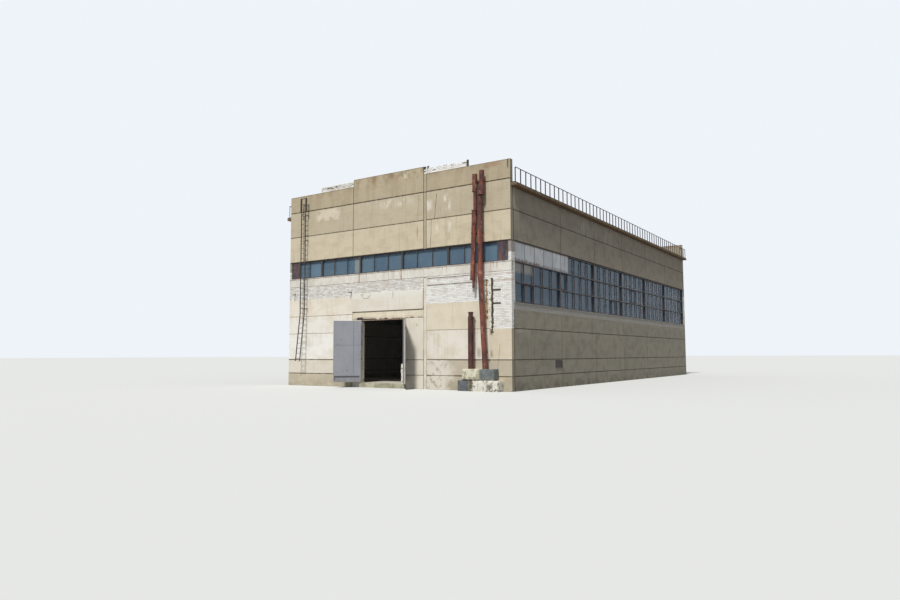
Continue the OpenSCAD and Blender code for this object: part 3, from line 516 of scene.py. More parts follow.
def cornice(place, x, y, z):
    top = high("eave_cornices").z
    felted = fade(z, top - 0.07, top - 0.03) * spots(place, 0.25, 0.45, 0.4, 1, 0.0, 4.0)
    colour, normal = mossy(place, (132, 123, 98), (76, 69, 46), 0.85)
    return coat(colour, (fade(z, top - 0.1, top - 0.16) * 0.75, (112, 82, 62)), (felted * 0.9, (50, 49, 42)),
        (near(y, bayLines, 0.04) * 0.7, (62, 56, 46))), normal


def threshold(place, x, y, z):
    return mossy(place, (192, 188, 166), (120, 118, 84), 0.45)


def fillerConcrete(place, x, y, z):
    colour = mix(fade(z, sillZ, headZ), (228, 222, 209), (180, 169, 146))
    colour, normal = weathered(place, colour, dict(upperLook, levels=[upperZ, bandZ]))
    sides = near(x, gableLines[1:], 0.03) * fade(z, sillZ, headZ)
    return mix(sides * 0.6, colour, (112, 101, 84)), normal


def hallFloor(place, x, y, z):
    # painted light: the floor's tones are made pale to brighten the dim hall; the blotches and cracks are its
    # own
    colour = mix(spots(place, 0.35, 0.65, 0.8, 1, 0.0, 6.0) * 0.6, (206, 200, 187), (164, 158, 146))
    cracks = near(cloud(place, 1.7, 1, 4.0, 6.0), [0.5], 0.006)
    return mix(cracks * 0.6, colour, (62, 58, 53)), relief(cloud(place, 0.06, 1, 0.0, 6.0), 0.3, 0.01)


def felt(place, x, y, z):
    across = (y + innerY) / feltPitch
    tar = near(across.math("FRACT", across), [0.0, 1.0], 0.09) * spots(place, 0.25, 0.5, 0.4, (2, 1, 1), 9.0)
    edges = fade(abs(x), 7.9, 8.7) * spots(place, 0.3, 0.6, 0.7)
    ends = fade(abs(y), innerY - 0.5, innerY - 0.1) * spots(place, 0.3, 0.6, 0.5)
    lengths = dice(place, (60.0, feltPitch, 60.0), (0.0, innerY / feltPitch, 0.0))
    colour = coat(mix(lengths, (84, 84, 82), (74, 74, 74)),
        (spots(place, 0.42, 0.66, 3.2, (1.6, 1, 1), 0.0, 4.0) * 0.3, (108, 106, 98)),
        (spots(place, 0.5, 0.68, 0.16, (14, 1, 1), 3.0, 4.0) * 0.25, (112, 110, 102)),
        (tar * 0.75, (38, 38, 40)), (edges * 0.6, (74, 72, 56)), (ends * 0.5, (60, 58, 50)))
    waves = relief(cloud(place, 0.5, 1, 0.0, 3.0), 0.4, 0.03)
    return colour, relief(cloud(place, 0.02, 1, 2.0, 3.0, 0.8), 0.4, 0.006, waves)


# Brickwork, sheets, glass and steel

def mortar(place, x, y, z):
    colour = mix(spots(place, 0.35, 0.65, 0.25), (166, 164, 160), (196, 194, 189))
    return colour, relief(cloud(place, 0.02, 1, 0.0, 4.0), 0.5, 0.006)


def jointMortar(place, x, y, z):
    dark = near(z, levels(0.55, 1.5) + [upperZ + 0.01], 0.1) * (y < -innerY)
    painted = (y < -innerY) * (x < 7.6) * (z > floorZ + 2.2) * (z < bandZ)
    colour = mix(spots(place, 0.35, 0.65, 0.2), (62, 56, 48), (92, 85, 74))
    colour = coat(colour, ((y < -innerY) * (z > sillZ) * 0.45, (140, 128, 106)), (dark * 0.85, (46, 39, 32)),
        (painted * spots(place, 0.25, 0.4, 0.4, 1, 0.0, 4.0) * 0.85, (192, 180, 156)))
    return colour, relief(cloud(place, 0.03, 1, 0.0, 4.0), 0.5, 0.008)


def whiteBrick(place, x, y, z):
    tone = place.node("Attribute", {"attribute_name": "tone"}, None, "Fac")
    height = z - floorZ
    front = fade(y, frontY + 0.3, frontY + 0.2)
    worn = fade(x, gableLines[2], gableLines[1] - 0.4) * spots(place, 0.38, 0.6, 0.22, (1.6, 1, 0.5), 19.0)
    # painted shade: the bricks on the side walls are greyed to stand in for the shade there
    side = fade(abs(x), sideX - 0.05, sideX - 0.02) * (abs(y) < pierEnd)
    angles = near(height, [6.1, 6.46], 0.09) * (x > gableLines[2])
    stripes = near(height, [6.05, 6.3, 6.52], 0.09) * (x < gableLines[2])
    rust = (angles * 0.9 + stripes * 0.3) * front * spots(place, 0.38, 0.6, 0.5, (2, 1, 0.4), 12.0)
    under = fade(height, 8.5, 8.45)
    brown = fade(height + 0.1 * cloud(place, 0.2, 1, 0.0, 4.0), 7.72, 7.8) * under * (abs(x) > 8.6)
    # painted shadow: the window reveal beside the pier is drawn near black
    shadedReveal = fade(abs(x), 8.84, 8.8) * fade(height, 7.15, 7.25) * under * front
    # painted shadow: a dark line under the edge of the upper panels over the pier
    lipShadow = fade(height, 8.3, 8.36) * under * (abs(x) > 8.6)
    colour = coat(mix(fade(tone, 0.0, 0.55), (227, 224, 218), (243, 243, 241)),
        ((tone > 0.97) * 0.45, (198, 176, 164)),
        (spots(place, 0.48, 0.66, 0.4, 2.0, 6.0) * 0.22, (190, 184, 172)),
        (worn * front * 0.5, (186, 180, 169)), (side * 0.75, (150, 145, 135)), (rust * 0.5, (178, 136, 106)),
        (brown * 0.8, (140, 124, 116)), (shadedReveal * 0.92, (44, 32, 30)), (lipShadow * 0.85, (40, 30, 24)))
    return colour, relief(cloud(place, 0.03, 1, 3.0, 5.0, 0.7), 0.4, 0.008)


def bandSheet(place, x, y, z):
    runs = spots(place, 0.54, 0.68, 0.11, 22, 4.0, 4.0, 0.6) * fade(z, bandZ, sillZ, 0.1, 1.0)
    edge = fade(z, sillZ - 0.07, sillZ) * spots(place, 0.35, 0.6, 0.3, 1, 0.0, 4.0)
    # painted shadow: a ragged dark line along the lower edge of the sheets
    ragged = fade(z + 0.16 * cloud(place, 0.22, 1, 9.0, 6.0), bandZ + 0.15, bandZ + 0.05)
    under = near(x + 0.05 * cloud(place, 0.2, 1, 0.0, 4.0), [-2.42, 1.1], 0.07) * (y < 0.0)
    colour = mix(dice(place, (1.19, 60.0, 60.0), (0.45, 0.0, 0.0)), (230, 227, 219), (211, 207, 197))
    colour = coat(colour, (spots(place, 0.45, 0.65, 0.3, 1, 0.0, 6.0) * 0.3, (188, 180, 162)),
        (runs * 0.62, (164, 116, 78)), (edge * 0.62, (132, 86, 58)), (ragged * 0.7, (128, 112, 92)),
        (under * 0.75, (146, 100, 66)),
        (near(x, [-0.41, 0.03, 0.42], 0.02) * (y < 0.0) * 0.6, (124, 116, 104)))
    return colour, relief(cloud(place, 0.25, 1, 0.0, 4.0), 0.35, 0.012)


def sideSheet(place, x, y, z):
    runs = spots(place, 0.56, 0.66, 0.15, 20, 4.0, 3.0, 0.5) * fade(z, headZ - 1.1, headZ)
    top = fade(z + 0.25 * cloud(place, 0.3), headZ - 0.02, headZ + 0.1)
    foot = fade(z + 0.5 * cloud(place, 0.35), sillZ + 0.5, sillZ + 0.3)
    colour = mix(dice(place, (60.0, 1.29, 60.0), (0.0, 0.302, 0.0)), (208, 213, 218), (174, 179, 185))
    # the near-black band just under the window head is a painted shadow of the panel edge above
    colour = coat(colour, (spots(place, 0.45, 0.65, 0.9) * 0.35, (168, 168, 164)),
        (runs * 0.8, (116, 78, 54)),
        (top * 0.7, (132, 92, 62)), (fade(z, headZ - 0.09, headZ - 0.04) * 0.85, (44, 38, 28)),
        (foot * fade(y, -14.2, -16.0, 0.55, 0.85), (88, 68, 54)))
    return colour, relief(cloud(place, 0.35, 1, 0.0, 4.0), 0.35, 0.015)


def endSheet(place, x, y, z):
    colour = mix(spots(place, 0.35, 0.65, 0.35, 2), (98, 83, 88), (69, 59, 70))
    colour = mix(spots(place, 0.5, 0.7, 0.14, 6, 3.0) * 0.6, colour, (128, 84, 62))
    return colour, relief(cloud(place, 0.2, 1, 0.0, 4.0), 0.3, 0.01)


def panes(place, pitch, shift):
    # panes of slightly different tones, whose blue is a painted reflection of the sky, and the roughness that
    # their dust gives
    dust = spots(place, 0.4, 0.7, 0.5, 1.5, 2.0)
    colour = mix(dice(place, pitch, shift), (87, 116, 139), (114, 145, 168))
    return mix(dust * 0.25, colour, (128, 140, 146)), dust * 0.08 + 0.2


def gableGlass(place, x, y, z):
    colour, rough = panes(place, (1.17, 60.0, 60.0), (0.06, 0.0, 0.0))
    pale = patch(x, z, (-2.75, sillZ + 0.6, 0.46, 1.4, 0.12)) * (y < 0.0)
    return mix(pale * 0.8, colour, (160, 168, 166)), None, rough


def sideGlass(place, x, y, z):
    colour, rough = panes(place, (60.0, 1.29, 1.2), (0.0, 0.302, -0.25))
    limed = (y < -15.6) * (x > 0.0) * fade(z + 0.3 * cloud(place, 0.5), sillZ - 0.6, sillZ - 0.3)
    # the blue laid over the side panes deepens the painted reflection of the sky
    return coat(colour, (0.7, (34, 80, 110)), (limed * 0.8, (190, 186, 176))), None, rough


def rustedPaint(place, paint, rust, amount, size=0.12):
    # old paint on steel with rust coming through
    rusty = spots(place, 0.6 - amount, 0.68 - amount, size, 1.6, 3.0, 6.0, 0.65)
    tone = spots(place, 0.35, 0.65, 4.0 * size, 1, 8.0, 4.0)
    return mix(rusty * 0.85, paint, mix(tone, rust, (70, 48, 38))), rusty


def windowSteel(place, x, y, z):
    colour, rusty = rustedPaint(place, (62, 60, 62), (104, 70, 52), 0.08)
    return colour, None, rusty * 0.25 + 0.55


def darkSteel(place, x, y, z):
    colour, rusty = rustedPaint(place, (58, 54, 52), (98, 62, 44), 0.07)
    return colour, relief(rusty, 0.3, 0.003), rusty * 0.2 + 0.6


def railSteel(place, x, y, z):
    colour, rusty = rustedPaint(place, (24, 27, 33), (62, 46, 38), 0.03)
    return colour, None, rusty * 0.2 + 0.6


def liningSteel(place, x, y, z):
    # painted light: the paint is paler towards the left jamb, standing in for light the jamb does not get
    paint = mix(fade(x, -1.0, 0.5), (228, 222, 208), (196, 190, 178))
    colour, rusty = rustedPaint(place, paint, (124, 78, 54), 0.05, 0.2)
    return mix(fade(z, floorZ + 3.9, floorZ + 4.05) * 0.7, colour, (98, 66, 48)), None, rusty * 0.25 + 0.5


def pipeRust(place, x, y, z):
    flakes = spots(place, 0.5, 0.6, 0.22, 1.8, 6.0, 7.0, 0.68)
    pale = spots(place, 0.55, 0.63, 0.25, 2.0, 13.0, 6.0, 0.65)
    dark = fade(z, floorZ + 2.6, floorZ + 1.0) * spots(place, 0.35, 0.6, 0.3, 1, 0.0, 4.0)
    # painted shadow: the short pipe is darkened low down, where a shadow falls on it
    short = (x < 6.8) * (z < floorZ + 4.5)
    colour = coat(mix(spots(place, 0.35, 0.65, 0.5, 2.5, 1.0), (134, 71, 54), (86, 50, 44)),
        (flakes * 0.75, (62, 44, 42)), (pale * 0.6, (174, 118, 98)), (dark * 0.5, (66, 44, 38)),
        (short * 0.68, (46, 26, 22)))
    return colour, relief(flakes, 0.4, 0.004), flakes * 0.2 + 0.65


def leafPaint(place, x, y, z):
    colour = mix(spots(place, 0.35, 0.65, 0.9) * 0.5, (158, 161, 169), (146, 149, 158))
    colour = mix(spots(place, 0.5, 0.7, 0.1, 12, 2.0) * 0.25, colour, (132, 132, 134))
    colour, rusty = rustedPaint(place, colour, (124, 92, 70), -0.02, 0.09)
    colour = mix(fade(z, 0.95, 0.4) * spots(place, 0.4, 0.6, 0.25) * 0.5, colour, (128, 118, 100))
    return colour, relief(cloud(place, 1.1, 1, 4.0, 2.0), 0.25, 0.03), rusty * 0.3 + 0.5


def weldPaint(place, x, y, z):
    colour, rusty = rustedPaint(place, (124, 128, 137), (110, 84, 68), 0.02, 0.09)
    return colour, None, rusty * 0.3 + 0.5


def blockConcrete(place, x, y, z):
    upper = fade(z, 0.66, 0.7)
    lower = 1.0 - upper
    wash = spots(place, 0.42, 0.52, 0.3, 1, 15.0) * upper * fade(x, 7.3, 6.9)
    slate = spots(place, 0.3, 0.7, 0.3, 1, 6.0, 4.0)
    chalky = lower * fade(x, 6.6, 6.75)
    earthy = patch(x, z, (6.62, 0.3, 0.24, 0.9, 0.4), (7.9, 0.2, 0.4, 0.44, 0.4, 0.9)) * lower
    gap = near(z, [0.66], 0.05) * spots(place, 0.25, 0.45, 0.25, 1, 0.0, 4.0)
    pits = spots(place, 0.56, 0.61, 0.2, 1, 2.0) * (chalky * 0.6 + 0.15)
    colour, normal = mossy(place, (196, 193, 170), (132, 128, 92), 0.45)
    return coat(colour, (wash * 0.75, (232, 228, 206)),
        (upper * fade(x, 7.1, 7.3) * 0.85, mix(slate, (86, 97, 104), (116, 125, 129))),
        (lower * fade(x, 6.55, 6.4) * 0.85, mix(slate, (66, 74, 90), (98, 104, 114))),
        (chalky * 0.85, (236, 233, 222)), (earthy * spots(place, 0.3, 0.5, 0.16) * 0.85, (84, 70, 48)),
        (gap * 0.75, (74, 70, 60)), (pits, (70, 66, 52))), normal


def whitewash(place, x, y, z):
    colour = mix(spots(place, 0.52, 0.64, 0.12, 1, 5.0, 6.0), (232, 229, 219), (128, 122, 100))
    return colour, relief(cloud(place, 0.05), 0.5, 0.012)


def ochreRender(place, x, y, z):
    colour = mix(spots(place, 0.4, 0.6, 0.18, 1, 0.0, 6.0), (192, 168, 126), (104, 84, 60))
    return colour, relief(cloud(place, 0.05), 0.5, 0.01)


def bareFloor(place, x, y, z):
    return [mix(raysSeen(place), light["ground"], light["paleFloor"])]


# Each recipe with the name and the fixed values of its material, and the frame parts that wear it
matte = {"Roughness": 0.9, "Specular IOR Level": 0.25}
smooth = {"Roughness": 0.6, "Specular IOR Level": 0.35}
looks = {
    upperFront: ("exposed_panel_concrete", matte, "front_upper_panels rear_upper_panels"),
    parapet: ("parapet_concrete", matte, "front_parapet rear_parapet"),
    paintedLeft: ("painted_panels_left", matte, "front_left_panels rear_lower_panels"),
    paintedRight: ("painted_panels_right", matte, "front_right_panels"),
    paintedGate: ("painted_panels_gate", matte, "gate_side_panels gate_lintel_panel"),
    beamFace: ("spalled_beam_concrete", matte, "gate_beam"),
    sideUpper: ("side_panels_upper", matte, "right_upper_panels left_upper_panels"),
    sideLower: ("side_panels_lower", matte, "right_lower_panels left_lower_panels"),
    structural: ("structural_concrete", matte, "columns roof_girders roof_slabs"),
    cornice: ("mossy_cornice_concrete", matte, "eave_cornices"),
    threshold: ("threshold_concrete", matte, "gate_threshold"),
    fillerConcrete: ("filler_concrete", matte, "front_filler_strip"),
    hallFloor: ("hall_floor_concrete", matte, "floor_slab"),
    felt: ("roofing_felt", matte, "roofing"),
    mortar: ("brick_mortar", matte,
        "front_brickwork rear_brickwork side_brick_courses corner_piers parapet_upstands"),
    jointMortar: ("joint_mortar", matte, ""),
    whiteBrick: ("whitewashed_brick", matte, ""),
    bandSheet: ("white_band_sheet", smooth, "front_sheet_band rear_sheet_band"),
    sideSheet: ("white_side_sheet", smooth, "side_window_sheets"),
    endSheet: ("rusted_end_sheet", {"Roughness": 0.75}, "window_end_sheets"),
    gableGlass: ("old_gable_glass", {"Alpha": 0.66, "IOR": 1.45}, "gable_window_glass"),
    sideGlass: ("old_side_glass", {"Alpha": 0.7, "IOR": 1.45}, "side_window_glass"),
    windowSteel: ("window_steel", {}, "gable_window_frames side_window_frames"),
    darkSteel: ("dark_steel", {}, "roof_ladder wall_brackets side_vent"),
    railSteel: ("railing_steel", {}, "roof_railings"),
    liningSteel: ("gate_lining_steel", {}, "gate_lining"),
    pipeRust: ("rusted_pipe", {}, "broken_pipe leaning_pipe short_pipe"),
    leafPaint: ("grey_leaf_paint", {}, "left_leaf_frame left_leaf_sheet right_leaf_frame right_leaf_sheet"),
    weldPaint: ("dark_weld_paint", {}, ""),
    blockConcrete: ("block_concrete", matte, "pipe_blocks"),
    whitewash: ("lumpy_whitewash", matte, "wheel_guard"),
    ochreRender: ("ochre_render", matte, ""),
}
finish = {}
for recipe, (name, settings, wearers) in looks.items():
    finish[recipe] = material(name, recipe, settings)
    for wearer in wearers.split():
        slots = nodes[wearer].data.materials
        if not slots:
            slots.append(finish[recipe])
        for index in range(len(slots)):
            slots[index] = finish[recipe]
print("materials made:", len(finish))


# Making pieces

def piece(name, bm, recipe, body="building", turn=None):
    # turns a drawn mesh into place and hands it to its body
    if turn is not None:
        bmesh.ops.transform(bm, matrix=turn, verts=bm.verts[:])
    bmesh.ops.recalc_face_normals(bm, faces=bm.faces[:])
    mesh = meshOf(name, bm)
    mesh.materials.append(finish[recipe])
    made = linked(name, mesh)
    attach(made, body)
    return made


def block(bm, a, b, bevel=0.0):
    # a box between two corners with softened edges
    a, b = Vector(a), Vector(b)
    verts = bmesh.ops.create_cube(bm, size=1.0)["verts"]
    bmesh.ops.scale(bm, vec=b - a, verts=verts)
    bmesh.ops.translate(bm, vec=(a + b) / 2, verts=verts)
    if bevel:
        edges = list(dict.fromkeys(edge for vert in verts for edge in vert.link_edges))
        made = bmesh.ops.bevel(bm, geom=edges, offset=bevel, offset_type="OFFSET", segments=1,
            profile=0.5, affect="EDGES", material=-1)
        verts = list(dict.fromkeys(vert for face in made["faces"] for vert in face.verts))
    return verts


def rod(bm, a, b, radius, sides=10):
    # a round bar from one point to another
    a, b = Vector(a), Vector(b)
    verts = bmesh.ops.create_cone(bm, cap_ends=True, segments=sides, radius1=radius, radius2=radius,
        depth=(b - a).length)["verts"]
    turn = (b - a).to_track_quat("Z", "Y").to_matrix().to_4x4()
    bmesh.ops.transform(bm, matrix=Matrix.Translation((a + b) / 2) @ turn, verts=verts)


def sliced(bm, a, b, pieces):
    # a box cut into many small faces, ready to be roughened
    block(bm, a, b)
    for axis in range(3):
        for cut in range(1, pieces[axis]):
            spot, normal = Vector(a), Vector((0, 0, 0))
            spot[axis] += (b[axis] - a[axis]) * cut / pieces[axis]
            normal[axis] = 1
            geometry = bm.verts[:] + bm.edges[:] + bm.faces[:]
            bmesh.ops.bisect_plane(bm, geom=geometry, dist=0.0001, plane_co=spot, plane_no=normal)


def wobble(spot, size, seed):
    return noise.noise(Vector(spot) / size + Vector((seed, 2 * seed, 3 * seed)))


def pour(bm, part, turn=Matrix()):
    # adds a part that was drawn by itself, turned into its place
    bmesh.ops.transform(part, matrix=turn, verts=part.verts[:])
    mesh = meshOf("part", part)
    bm.from_mesh(mesh)
    bpy.data.meshes.remove(mesh)


# Mortar in the open joints

joint = {"back": 0.012, "lap": 0.002, "least": 0.005, "most": 0.05}
wallPanels = {
    "front": ["front_left_panels", "front_right_panels", "gate_side_panels", "gate_beam", "gate_lintel_panel",
        "front_filler_strip", "front_upper_panels", "front_parapet"],
    "rear": ["rear_lower_panels", "rear_upper_panels", "rear_parapet"],
    "right": ["right_lower_panels", "right_upper_panels"],
    "left": ["left_lower_panels", "left_upper_panels"],
}


def solidBoxes(name):
    # the box round each separate solid of a frame part
    bm = bmesh.new()
    bm.from_mesh(nodes[name].data)
    bmesh.ops.remove_doubles(bm, verts=bm.verts[:], dist=0.0002)
    boxes, left = [], set(bm.verts)
    while left:
        group, found = [], [left.pop()]
        while found:
            vert = found.pop()
            group.append(vert.co.copy())
            for edge in vert.link_edges:
                other = edge.other_vert(vert)
                if other in left:
                    left.discard(other)
                    found.append(other)
        boxes.append([[pick(spot[axis] for spot in group) for axis in range(3)] for pick in (min, max)])
    bm.free()
    return boxes


def addJointMortar():
    bm = bmesh.new()
    for wall, names in wallPanels.items():
        along = 0 if wall in ("front", "rear") else 1
        across = 1 - along
        boxes = sorted(box for name in names for box in solidBoxes(name))
        for a, b in boxes:
            for c, d in boxes:
                for axis, other in ((2, along), (along, 2)):
                    gap = c[axis] - b[axis]
                    start, end = list(a), list(b)
                    start[other], end[other] = max(a[other], c[other]), min(b[other], d[other])
                    if not joint["least"] < gap < joint["most"] or end[other] - start[other] < joint["most"]:
                        continue
                    start[axis], end[axis] = b[axis] - joint["lap"], c[axis] + joint["lap"]
                    start[across], end[across] = a[across] + joint["back"], b[across] - joint["back"]
                    block(bm, start, end)
    piece("joint_mortar", bm, jointMortar)


addJointMortar()
print("joints filled")


# Bricks

bricks = {
    "length": 0.25, "height": 0.088, "joint": 0.012,
    "proud": 0.011, "deep": 0.03, "edge": 0.006,
    "shortest": 0.05, "push": 0.004, "lean": 0.009,
}


def brickMesh(depth):
    bm = bmesh.new()
    block(bm, (0, -depth, 0), (bricks["length"], 0, bricks["height"]), bricks["edge"])
    bmesh.ops.recalc_face_normals(bm, faces=bm.faces[:])
    mesh = meshOf("one_brick", bm)
    mesh.attributes.new("tone", "FLOAT", "FACE")
    return mesh


def setBrick(bm, template, place, length, tone):
    copy = template.copy()
    copy.transform(place @ Matrix.Diagonal((length / bricks["length"], 1, 1, 1)))
    copy.attributes["tone"].data.foreach_set("value", [tone] * len(copy.polygons))
    bm.from_mesh(copy)
    bpy.data.meshes.remove(copy)


def layBricks(bm, template, field, face, draw, missing=0.0):
    # half-bond courses over a field given as left, right, bottom and top
    left, right, bottom, top = field
    length, height, gap = bricks["length"], bricks["height"], bricks["joint"]
    courses = max(1, round((top - bottom) / (height + gap)))
    rise = (top - bottom) / courses
    stretch = Matrix.Diagonal((1, 1, (rise - gap) / height, 1))
    for course in range(courses):
        at = left - (length / 2 if course % 2 else 0)
        while at < right:
            start, end = max(at, left), min(at + length, right)
            at += length + gap
            tone = draw.random()
            push = draw.uniform(-bricks["push"], bricks["push"])
            lean = draw.uniform(-bricks["lean"], bricks["lean"])
            if end - start < bricks["shortest"] or draw.random() < missing * course:
                continue
            spot = Vector((start, face - push, bottom + course * rise + gap / 2))
            place = Matrix.Translation(spot) @ Matrix.Rotation(lean, 4, "Z") @ stretch
            setBrick(bm, template, place, end - start, tone)


def wallBricks(name, wall, fields, seed):
    bm = bmesh.new()
    draw = random.Random(seed)
    template = brickMesh(bricks["proud"] + bricks["deep"])
    for left, right, bottom, top, face in fields:
        layBricks(bm, template, (left, right, bottom, top), face + bricks["deep"], draw)
    bpy.data.meshes.remove(template)
    made = piece(name, bm, whiteBrick, turn=turned(wall))
    print(name, len(made.data.polygons), "faces")


rightPanels = corners("front_right_panels")
thirdRowTop = max(spot.z for spot in rightPanels)
cornerBrickX = max(spot.x for spot in rightPanels if spot.z > thirdRowTop - 0.1)
secondRowTop = max(spot.z for spot in rightPanels if spot.x > sideX - 0.1)
lintelLow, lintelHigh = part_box("gate_lintel_panel")
leftTop = high("front_left_panels").z
rearTop = high("rear_lower_panels").z
brickFace = low("front_brickwork").y
pierFace = low("corner_piers").y
sheetEnd = high("window_end_sheets").x

piers = [(-sideX, -sheetEnd, sillZ, headZ, pierFace), (sheetEnd, sideX, sillZ, headZ, pierFace)]
frontFields = [
    (-sideX, lintelLow.x, leftTop, bandZ, brickFace),
    (lintelLow.x, lintelHigh.x, lintelHigh.z, bandZ, brickFace),
    (gableLines[2], sideX, thirdRowTop, bandZ, brickFace),
    (cornerBrickX, sideX, secondRowTop, thirdRowTop, brickFace),
]


def sideFields(frontSign, brickBottom):
    # the courses under the side windows, and the flush corners at both ends
    fields = [(-pierEnd, pierEnd, low("corner_piers").z, sideSillZ, -sideX + 0.02)]
    flush = -sideX + bricks["proud"] - bricks["push"]
    for sign in (-1, 1):
        start = brickBottom if sign == frontSign else rearTop
        inner, middle, outer = sign * pierEnd, sign * innerY, sign * -pierFace
        fields.append((min(inner, middle), max(inner, middle), sideSillZ, headZ, flush))
        for bottom, top in ((start, bandZ), (sillZ, headZ)):
            fields.append((min(middle, outer), max(middle, outer), bottom, top, flush))
    return fields


wallBricks("front_bricks", "front", frontFields + piers, 3)
wallBricks("rear_bricks", "rear", [(-sideX, sideX, rearTop, bandZ, brickFace)] + piers, 4)
wallBricks("right_side_bricks", "right", sideFields(-1, secondRowTop), 5)
wallBricks("left_side_bricks", "left", sideFields(1, leftTop), 6)

upstand = {"wythes": (0.0, 0.13), "depth": 0.12, "missing": 0.11, "core": 0.35, "coreBack": (0.02, 0.015)}


def addUpstands():
    # ragged brick upstands on a low mortar core, in place of the plain ones
    bm = bmesh.new()
    template = brickMesh(upstand["depth"])
    draw = random.Random(11)
    a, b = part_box("parapet_upstands")
    ends, faces = upstand["coreBack"]
    sides = [spot.x for spot in corners("parapet_upstands")]
    for side in ([x for x in sides if x < 0], [x for x in sides if x > 0]):
        left, right = min(side), max(side)
        if left > 0:
            left = gableLines[1] + 0.005  # over the filler strip too
        for wythe in upstand["wythes"]:
            face = a.y + upstand["depth"] + wythe
            layBricks(bm, template, (left, right, a.z, b.z), face, draw, upstand["missing"])
        block(bm, (left + ends, a.y + faces, a.z),
            (right - ends, b.y - faces, a.z + upstand["core"] * (b.z - a.z)), 0.01)
    bpy.data.meshes.remove(template)
    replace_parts(piece("brick_upstands", bm, whiteBrick), "parapet_upstands")


addUpstands()
print("brickwork laid")


# Windows

gableBars = {"frame": 3.51, "lights": 3, "width": 0.035, "depth": 0.05, "out": 0.015, "short": 0.05}


def addGableBars():
    # two bars in each frame
    right = high("gable_window_frames").x
    face = low("gable_window_frames").y + gableBars["out"]
    half, lights, short = gableBars["width"] / 2, gableBars["lights"], gableBars["short"]
    for wall, name in (("front", "front_window_bars"), ("rear", "rear_window_bars")):
        bm = bmesh.new()
        for index in range(math.ceil(2 * right / gableBars["frame"])):
            for bar in range(1, lights):
                x = right - (index + bar / lights) * gableBars["frame"]
                if x > -right + 0.1:
                    block(bm, (x - half, face, sillZ + short),
                        (x + half, face + gableBars["depth"], headZ - short), 0.008)
        piece(name, bm, windowSteel, turn=turned(wall))


sideBars = {"units": 5, "rows": 3, "width": 0.05, "depth": 0.06, "out": 0.02, "short": 0.05}
casement = {"width": 0.035, "depth": 0.04, "out": 0.035, "in": 0.1, "up": 0.08, "every": 4}
windowEnds = [-pierEnd] + bayLines + [pierEnd]
rowHeight = (headZ - sideSillZ) / sideBars["rows"]


def unitLines():
    # edges of all the units along one side wall
    edges = []
    for start, end in zip(windowEnds, windowEnds[1:]):
        pitch = (end - start) / sideBars["units"]
        edges += [(start + unit * pitch, start + (unit + 1) * pitch) for unit in range(sideBars["units"])]
    return edges


def addCasement(bm, left, right, bottom, top, face):
    # a thin rectangular frame
    width = casement["width"]
    for a, b in (((left, bottom), (right, bottom + width)), ((left, top - width), (right, top)),
            ((left, bottom + width), (left + width, top - width)),
            ((right - width, bottom + width), (right, top - width))):
        block(bm, (a[0], face, a[1]), (b[0], face + casement["depth"], b[1]), 0.005)


def addSideBars():
    face = -high("side_window_frames").x
    front, half, short = face + sideBars["out"], sideBars["width"] / 2, sideBars["short"]
    for wall in ("right", "left"):
        bm = bmesh.new()
        for index, (start, end) in enumerate(unitLines()):
            if index % sideBars["units"]:
                block(bm, (start - half, front, sideSillZ + short),
                    (start + half, front + sideBars["depth"], headZ - short), 0.008)
            row = index // casement["every"] % sideBars["rows"]
            if row < sideBars["rows"] - 1 and index % casement["every"] == 1:
                bottom = sideSillZ + row * rowHeight + casement["up"]
                addCasement(bm, start + casement["in"], end - casement["in"],
                    bottom, bottom + rowHeight - 2 * casement["up"], face + casement["out"])
        piece(wall + "_window_bars", bm, windowSteel, turn=turned(wall))


sills = {"out": 0.03, "thick": 0.004, "drop": 0.045, "edge": 0.0015}


def addSills():
    # folded sheet under every ribbon window
    gable = low("gable_window_frames").y
    side = (pierEnd, sideSillZ, -sideX + 0.02, -high("side_window_frames").x)
    out, thick, edge = sills["out"], sills["thick"], sills["edge"]
    reach = sideX - 0.01
    runs = {"front": (reach, sillZ, frontY + 0.01, gable), "rear": (reach, sillZ, frontY + out, gable),
        "right": side, "left": side}
    bm = bmesh.new()
    for wall, (end, level, face, back) in runs.items():
        part = bmesh.new()
        block(part, (-end, face - out, level - 0.002), (end, back, level + thick), edge)
        block(part, (-end, face - out, level - sills["drop"]), (end, face - out + thick, level), edge)
        pour(bm, part, turned(wall))
    piece("sill_flashings", bm, bandSheet)


addGableBars()
addSideBars()
addSills()
print("window bars and sills made")


# Sheets

bandSheets = {
    "pitch": 1.19, "gap": 0.022, "thick": 0.004, "start": 0.98, "shortest": 0.1,
    "out": 0.002, "stray": 0.004, "drop": 0.012, "foot": 0.015, "head": 0.012,
}


def addBandSheets():
    # separate sheets over the band, each a little out of line
    draw = random.Random(21)
    half, thick = bandSheets["gap"] / 2, bandSheets["thick"]
    for wall, name in (("front", "front_band_sheets"), ("rear", "rear_band_sheets")):
        bm = bmesh.new()
        count = math.ceil((bandSheets["start"] + sideX) / bandSheets["pitch"])
        at = bandSheets["start"] - count * bandSheets["pitch"]
        while at < sideX:
            left, right = max(at, -sideX), min(at + bandSheets["pitch"], sideX)
            at += bandSheets["pitch"]
            if right - left < bandSheets["shortest"]:
                continue
            out = bandSheets["out"] + bandSheets["stray"] * draw.random()
            drop = bandSheets["drop"] * draw.random()
            face = frontY + 0.01 - out
            block(bm, (left + half, face - thick, bandZ - drop + bandSheets["foot"]),
                (right - half, face, sillZ - bandSheets["head"]), 0.002)
        piece(name, bm, bandSheet, turn=turned(wall))


ribs = {"pitch": 0.12, "width": 0.035, "out": 0.018, "short": 0.03}


